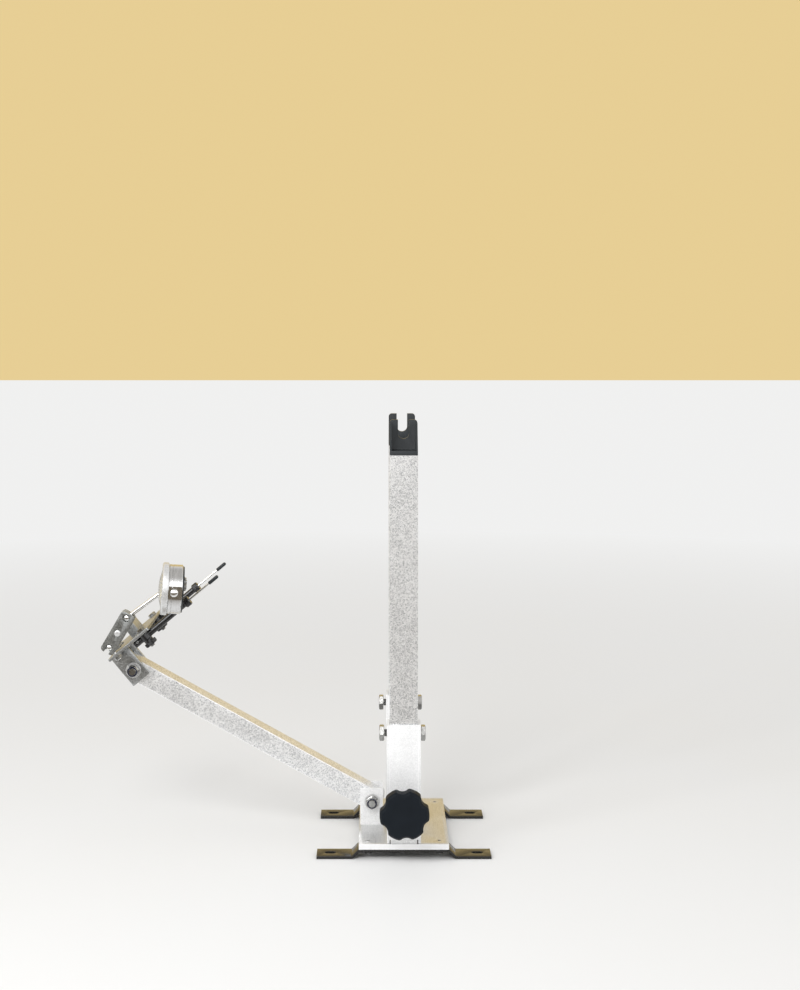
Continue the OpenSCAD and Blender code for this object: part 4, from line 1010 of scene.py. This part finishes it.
class STAND_OT_ball_joint(bpy.types.Operator):
    """Ball stud, link plates, link screw, ball rod and stem clamp"""

    bl_idname = "stand.ball_joint"
    bl_label = "Ball joint"

    def execute(self, context):
        for side in ("front", "back"):
            softened(f"{side}_plate", "link", f"{side}_link_plate", "link_edge")
        self.stud()
        self.screw()
        self.rod()
        softened("stem_ring", "bracket", "stem_clamp", "plate_edge")
        self.pinch()
        return {"FINISHED"}

    def stud(self):
        """Ball on a waisted neck, threaded below the bar, with its nut."""
        low, high = HEAD.box("ball_stud")
        (_, _, under), (_, _, over) = HEAD.box("gauge_bar")
        spot = (*(low + high)[:2] / 2, 0)
        radius, steps = (high[0] - low[0]) / 2, 28
        foot = high[2] - 2 * radius
        shown = int(steps * (1 - math.asin((NECK - 0.25) / radius) / math.pi))
        ball = arc((0, high[2] - radius), radius, QUARTER, -QUARTER, steps)[:shown]
        stem = [(NECK - 0.25, foot + 0.4), (NECK - 0.3, foot - 0.6), (NECK, over + 0.5)]
        shank = turned([*ball, *stem, (NECK, under), (0, under)])
        thread = threaded(2 * NECK, size_of("fine_pitch"), low[2], under + 0.5)
        skin("stud", "chrome", "ball_stud", *HEAD.each((shank, thread), shift=spot))
        (_, _, under), (_, _, over) = HEAD.box("ball_stud_nut")
        nut = HEAD(hex_head(7.65, under, over, bore=NECK), shift=spot)
        skin("stud_lock_nut", "bracket", "ball_stud_nut", nut)

    def screw(self):
        """Pan screw at the front of the plates, hexagon nut at the back."""
        low, high = LINK.box("link_screw")
        face, rear = LINK.box("front_link_plate")[0][1], LINK.box("back_link_plate")[1][1]
        shift = ((low[0] + high[0]) / 2, 0, 0)
        grids = [
            socket_head(3.4, face, low[1], flats=2.4, fall=0.5),
            threaded(4.0, size_of("fine_pitch"), face, high[1] + 0.2),
            hex_head(7.0, rear, high[1], bore=2.0),
        ]
        skin("plate_screw", "satin", "link_screw", *LINK.each(grids, "y", shift))

    def rod(self):
        """Polished ball on a long rod with a waisted neck."""
        low, high = ROD.box("ball_rod")
        radius, end, waist = -low[0], high[0], NECK - 0.3
        ball = arc((0, 0), radius, -QUARTER, QUARTER, 28)[:24]
        stem = [(waist, radius + 0.5), (waist, radius + 2), (NECK, radius + 3.5), (NECK, end), (0, end)]
        skin("rod_with_ball", "chrome", "ball_rod", ROD(turned([*ball, *stem]), "x"))

    def pinch(self):
        """Socket screw and nut through the stem clamp's ear."""
        ear, spot = 4.5, (STEM.box("stem_clamp")[1][0] - 3.25, 0, 0)
        grids = [
            socket_head(2.75, ear, ear + 2.8, flats=2.5),
            threaded(3.0, size_of("fine_pitch"), -ear - 3.0, ear + 0.5),
            hex_head(5.5, -ear, -ear - 2.4, bore=1.5),
        ]
        grids = STEM.each(grids, shift=spot)
        skin("pinch_screw", "zinc", None, *grids, on="stem_clamp", like="link_screw")


class STAND_OT_dial(bpy.types.Operator):
    """Dial case, bezel, crystal, scale, figures, hands and plunger"""

    bl_idname = "stand.dial"
    bl_label = "Dial"

    def execute(self, context):
        self.case()
        self.cover()
        self.cap()
        self.bezel(context.scene.stand_sizes.bezel_teeth)
        self.crystal()
        self.scale()
        self.plunger()
        repaint("ink", "needle", "counter_hand")
        return {"FINISHED"}

    def case(self):
        """Turned case with a flat on its side, its stem and the hands' arbor.

        The flat holds Y, a turned grid's first coordinate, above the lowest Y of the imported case."""
        low, (back, _, _) = FACE.box("dial_case")
        end = STEM.box("dial_case")[1][1]
        radius, spigot, front, groove = 26.0, 24.0, -6.0, 0.35
        shell = [(0, front - 2.6), (spigot - 0.2, front - 2.6), (spigot, front - 2.4), (spigot, front)]
        shell += [(radius - 0.5, front), (radius, front + 0.5), (radius, front + 3.2)]
        shell += [(radius - groove, front + 3.5), (radius - groove, front + 3.9), (radius, front + 4.2)]
        shell += [(radius, back - 0.8), (radius - 0.25, back - 0.25), (radius - 0.8, back), (0, back)]
        case = turned(shell, columns=192)
        case[..., 0] = np.maximum(case[..., 0], low[1])
        stem = [(0, -8), (4, -8), (4, end - 0.6), (3.5, end), (2.55, end), (2.55, end - 2), (0, end - 2)]
        arbor = [(0, -11.4), (0.75, -11.4), (0.9, -10.9), (0.9, -8), (0, -8)]
        grids = [
            FACE(case, "x"),
            STEM(turned(rod_profile(5.5, start=-25, end=-5, edge=0.5)), "y"),
            STEM(turned(stem), "y"),
            FACE(turned(arbor, columns=24), "x"),
        ]
        skin("case", "dial", "dial_case", *grids, sharp=9)

    def cover(self):
        """Black back cover with a raised rim and four screws."""
        back, x = FACE.box("dial_case")[1][0], FACE.box("dial_back_cover")[1][0]
        radius, spread, step = 24.5, 21.8, x - 0.3
        lid = [(0, back - 0.1), (radius - 0.2, back - 0.1), (radius, back + 0.2), (radius - 0.2, step)]
        lid += [(radius - 0.7, x), (20, x), (19.6, step), (0, step)]
        grids = [FACE(turned(lid, columns=96), "x")]
        for y, z in arc((0, 0), spread, TURN / 8, TURN * 7 / 8, 4):
            screw = socket_head(1.3, x - 0.1, x + 0.35, flats=0.9, fall=0.1)
            grids.append(FACE(screw, "x", (0, y, z)))
        skin("back_lid", "plastic", "dial_back_cover", *grids)

    def cap(self):
        """Polished cap on the case's flat: a short wall under a dome."""
        (_, apex, _), (radius, _, _) = STEM.box("spindle_cap")
        seat = STEM.box("dial_case")[0][1]
        top = dome(radius - 0.1, sphere=6.0, apex=apex, steps=12)
        wall = [(radius, top[-1, 1] + 0.15), (radius, seat - 0.3), (radius + 0.25, seat), (0, seat)]
        skin("spindle_end", "chrome", "spindle_cap", STEM(turned([*top, *wall]), "y"))

    def bezel(self, count):
        """Turning ring: the grip is serrated in two groups, each tooth a triangle wave of the angle."""
        (front, _, _), (back, _, _) = FACE.box("bezel")
        radius, bore, lip = 27.75, 24.05, 22.55
        middle, share = math.radians(230), 0.86
        section = [(bore, back), (bore, front + 1.5), (lip, front + 1.5), (lip, front + 0.5)]
        section += [(lip + 0.6, front), (radius - 1.6, front), (radius - 0.6, front + 0.5)]
        section += [(radius - 0.1, front + 1.6)]
        section += [(radius, x) for x in np.linspace(front + 2.2, back - 0.6, 5)] + [(radius - 0.4, back)]
        knurl = straight_knurl(count, size_of("bezel_depth"))

        def ripple(t, h):
            return knurl(t, h) * (np.cos(2 * (t - middle)) > share) * (h > front + 2.0) * (h < back - 0.5)

        grid = FACE(ringed(section, columns=4 * count, ripple=ripple), "x")
        skin("bezel_ring", "satin", "bezel", grid, sharp=40)

    def crystal(self):
        """Domed crystal: two spherical caps a wall apart, closed by a flange inside the bezel's lip."""
        (apex, _, _), (base, _, _) = FACE.box("crystal")
        wall, edge, rim, inner = 1.5, 23.9, 22.35, 21.4
        rise = base - wall - apex
        outside = dome(rim, (edge**2 + rise**2) / (2 * rise), apex, 18)
        inside = (outside + (0, wall))[outside[:, 0] < inner][::-1]
        flange = [(rim, base - wall), (edge, base - wall), (edge, base), (inner, base)]
        grid = turned([*outside, *flange, *inside], columns=96)
        skin("dome", "glass", "crystal", FACE(grid, "x"))

    def scale(self):
        """White scale ring and counter disc, with a hundred marks, ten figures and the counter's marks."""
        x = FACE.box("dial_face")[0][0]
        edge, thick, disc, bore, rim, outer = 0.06, 0.5, 15.08, 15.4, 23.95, 22.3
        ring = [(bore, x + thick), (bore, x + edge), (bore + edge, x)]
        ring += [(rim - 0.05, x), (rim, x + edge), (rim, x + thick)]
        skin("scale_ring", "paper", "dial_face", FACE(ringed(ring, columns=128), "x"))
        disc = turned(rod_profile(disc, x, x + thick, edge)[::-1], columns=96)
        skin("counter_disc", "paper", "counter_plate", FACE(disc, "x"))
        tens, fives = (np.arange(100) % step == 0 for step in (10, 5))
        length = np.where(tens, 3.0, np.where(fives, 2.3, 1.5))
        marks = self.bars(FACE, outer - length, outer, np.where(tens, 0.32, 0.2), x)
        skin("scale_marks", "ink", None, *marks, on="bezel", like="needle")
        marks = self.bars(COUNTER, np.full(10, 4.0), 4.9, 0.22, x)
        skin("counter_marks", "ink", None, *marks, on="dial_case", like="needle")
        self.figures(x)

    def bars(self, place, inner, outer, wide, x):
        """Flat radial bars evenly round a place: (across + i along) e^(i t), a hair proud of the scale."""
        along = np.stack(np.broadcast_arrays(inner, outer, outer, inner), 1)
        across = np.broadcast_to(wide, inner.shape)[:, None] / 2 * (-1, -1, 1, 1)
        ring = (across + 1j * along) * np.exp(1j * angles(len(inner)))[:, None]
        middle = np.broadcast_to(ring.mean(1)[:, None], ring.shape)
        flat = np.stack([middle, ring, ring, middle], 1)
        height = np.zeros(flat.shape) + x + np.array([-0.05, -0.05, 0.01, 0.01])[:, None]
        return place(np.stack([height, flat.real, flat.imag], -1))

    def figures(self, x):
        """Figures 0 to 90 round the scale, upright, made from the built-in font."""
        radius, proud = 17.4, 0.04
        points, faces, base = [], [], 0
        for value, turn in enumerate(angles(10)):
            text = bpy.data.curves.new("figure", "FONT")
            text.body = str(10 * value)
            text.size = 3.0
            text.extrude = 0.03
            text.align_x = text.align_y = "CENTER"
            mesh = evaluated(bpy.data.objects.new("figure", text))
            mesh.calc_loop_triangles()
            right, up, out = read(mesh.vertices, "co").T
            spot = [x - proud - out, -math.sin(turn) * radius - right, math.cos(turn) * radius + up]
            points.append(np.column_stack(spot))
            faces.append(base + read(mesh.loop_triangles, "vertices", 3, np.int32))
            base += len(up)
            bpy.data.curves.remove(text)
            bpy.data.meshes.remove(mesh)
        mesh = bpy.data.meshes.new("scale_figures")
        mesh.from_pydata(FACE(np.vstack(points)), [], np.vstack(faces))
        weld(mesh)
        show("scale_figures", mesh, "ink", on="bezel", like="needle")

    def plunger(self):
        """Rack spindle with a ball-ended contact point."""
        (_, start, _), (_, end, _) = STEM.box("plunger")
        rack, point, ball, neck = 2.5, 1.75, 1.5, end - 7
        profile = [(0, start), (rack, start), (rack, neck - 0.4), (rack - 0.4, neck), (point, neck)]
        profile += [(point, end - 4), (1.1, end - 3), *arc((0, end - ball), ball, -0.6, QUARTER, 12)]
        skin("spindle", "chrome", "plunger", STEM(turned(profile, columns=32), "y"))


class STAND_OT_stage(bpy.types.Operator):
    """Floor, soft lamps, surrounding light and camera"""

    bl_idname = "stand.stage"
    bl_label = "Stage"

    def execute(self, context):
        stage = context.scene.stand_stage
        context.scene.view_settings.view_transform = "Standard"
        self.floor(stage)
        self.world(context.scene, stage)
        self.lamp("key", (-0.6, -1.7, 1.7), (0, 0, 0.2), 0.9, stage.key)
        self.lamp("left", (-1.5, -1.4, 1.3), (-0.1, 0, 0.2), 0.7, stage.left)
        self.lamp("right", (1.9, -0.8, 1.1), (0, 0, 0.2), 1.4, stage.fill)
        self.camera(context.scene, stage)
        return {"FINISHED"}

    def floor(self, stage):
        """Pale floor: the camera sees it evenly lit far off, and metal sees it end in front of the stand."""
        half = 12.0
        mesh = bpy.data.meshes.new("floor")
        corners = half * np.array([[-1, -1, 0], [1, -1, 0], [1, 1, 0], [-1, 1, 0]])
        mesh.from_pydata(corners, [], [[0, 1, 2, 3]])
        piece = bpy.data.objects.new("floor", mesh)
        bpy.context.scene.collection.objects.link(piece)
        finish = Finish("pale floor", base_color=(*stage.floor, 1), metallic=0.0)
        finish.set(roughness=0.5 + finish.noise(3, detail=2) * 0.2)
        point = finish.at()
        away = finish.node("ShaderNodeVectorMath", {0: point}, "Value", operation="LENGTH").ramp(0.5, 2.5)
        before = (0 - finish.part(point, "Y")).ramp(0.15, 0.55)
        even = finish.node("ShaderNodeEmission", {"Color": (*stage.floor, 1), "Strength": stage.far})
        dim = finish.node("ShaderNodeEmission", {"Color": (*stage.front, 1), "Strength": 1.0})
        lit = finish.blend(finish.ray("Camera") * away, finish.plain(), even)
        seen = finish.blend(finish.ray("Glossy") * before, lit, dim)
        mesh.materials.append(finish.surface(seen).material)

    def world(self, scene, stage):
        """Even light for surfaces; the camera sees the backdrop, and metal and glass a studio.

        Along a direction, the backdrop fades in with Y and a white card with -Y above the horizon. The room
        darkens low at the left, with -X, and dims near the zenith."""
        scene.world = bpy.data.worlds.new("Studio")
        scene.world.use_nodes = True
        studio = Tree(scene.world.node_tree)
        studio.tree.nodes.clear()
        direction = studio.node("ShaderNodeTexCoord", output="Generated")
        x, y, z = (studio.part(direction, axis) for axis in "XYZ")
        behind = y.ramp(0.0, 0.4) * (1 - z.ramp(0.5, 0.75))
        card = (0 - y).ramp(0.1, 0.35) * z.ramp(0.02, 0.1) * (1 - z.ramp(0.6, 0.75))
        left = (0 - x).ramp(0.7, 0.9) * (1 - z.ramp(0.2, 0.4))
        zenith = z.ramp(0.6, 0.9) * 0.5
        sky, wall, dim = (tuple(colour) for colour in (stage.sky, stage.backdrop, stage.front))
        bright = tuple(stage.card * channel for channel in sky)
        around = studio.mix(left, studio.mix(zenith, sky, dim), shade(dim, 0.4))
        room = studio.mix(card, studio.mix(behind, around, wall), bright)

        def light(colour, strength=1.0):
            return studio.node("ShaderNodeBackground", {"Color": colour, "Strength": strength})

        mirrored = (studio.ray("Glossy") + studio.ray("Transmission")).ramp(0, 1)
        lit = studio.blend(mirrored, light((*sky, 1), stage.ambient), light(room))
        shown = studio.blend(studio.ray("Camera"), lit, light((*wall, 1)))
        studio.node("ShaderNodeOutputWorld", {"Surface": shown}, None)

    def lamp(self, name, spot, aim, size, power):
        """Square area lamp turned from its spot to its aim."""
        lamp = bpy.data.lights.new(name, "AREA")
        lamp.size = size
        lamp.energy = power
        holder = bpy.data.objects.new(name, lamp)
        bpy.context.scene.collection.objects.link(holder)
        holder.location = spot
        holder.rotation_euler = (Vector(aim) - Vector(spot)).to_track_quat("-Z", "Y").to_euler()

    def camera(self, scene, stage):
        """Level camera whose frame is shifted instead of tilted, so that uprights stay parallel."""
        lens = bpy.data.cameras.new("photo view")
        lens.lens = stage.lens
        lens.shift_x, lens.shift_y = stage.shift
        lens.clip_start, lens.clip_end = 0.05, 60
        holder = bpy.data.objects.new("photo view", lens)
        scene.collection.objects.link(holder)
        holder.location = stage.eye
        holder.rotation_euler = (QUARTER, 0, 0)
        scene.camera = holder


class STAND_PT_panel(bpy.types.Panel):
    """Sizes, colours and steps of the stand"""

    bl_label = "Truing stand"
    bl_idname = "STAND_PT_panel"
    bl_space_type = "VIEW_3D"
    bl_region_type = "UI"
    bl_category = "Stand"

    def draw(self, context):
        for step in STEPS:
            self.layout.operator(step.bl_idname, text=step.bl_label)
        for name in GROUPS:
            group = getattr(context.scene, name)
            for key in group.__annotations__:
                self.layout.prop(group, key)


GROUPS = {"stand_sizes": StandSizes, "stand_colours": StandColours, "stand_stage": StageSettings}
STEPS = (
    STAND_OT_base,
    STAND_OT_width_screw,
    STAND_OT_posts,
    STAND_OT_arm,
    STAND_OT_head,
    STAND_OT_feelers,
    STAND_OT_ball_joint,
    STAND_OT_dial,
    STAND_OT_stage,
)


def register():
    for group in (*GROUPS.values(), *STEPS, STAND_PT_panel):
        bpy.utils.register_class(group)
    for name, group in GROUPS.items():
        setattr(bpy.types.Scene, name, PointerProperty(type=group))


def unregister():
    for name in GROUPS:
        delattr(bpy.types.Scene, name)
    for group in reversed((*GROUPS.values(), *STEPS, STAND_PT_panel)):
        bpy.utils.unregister_class(group)


def main():
    register()
    for step in STEPS:
        family, name = step.bl_idname.split(".")
        getattr(getattr(bpy.ops, family), name)()


if __name__ == "__main__":
    main()
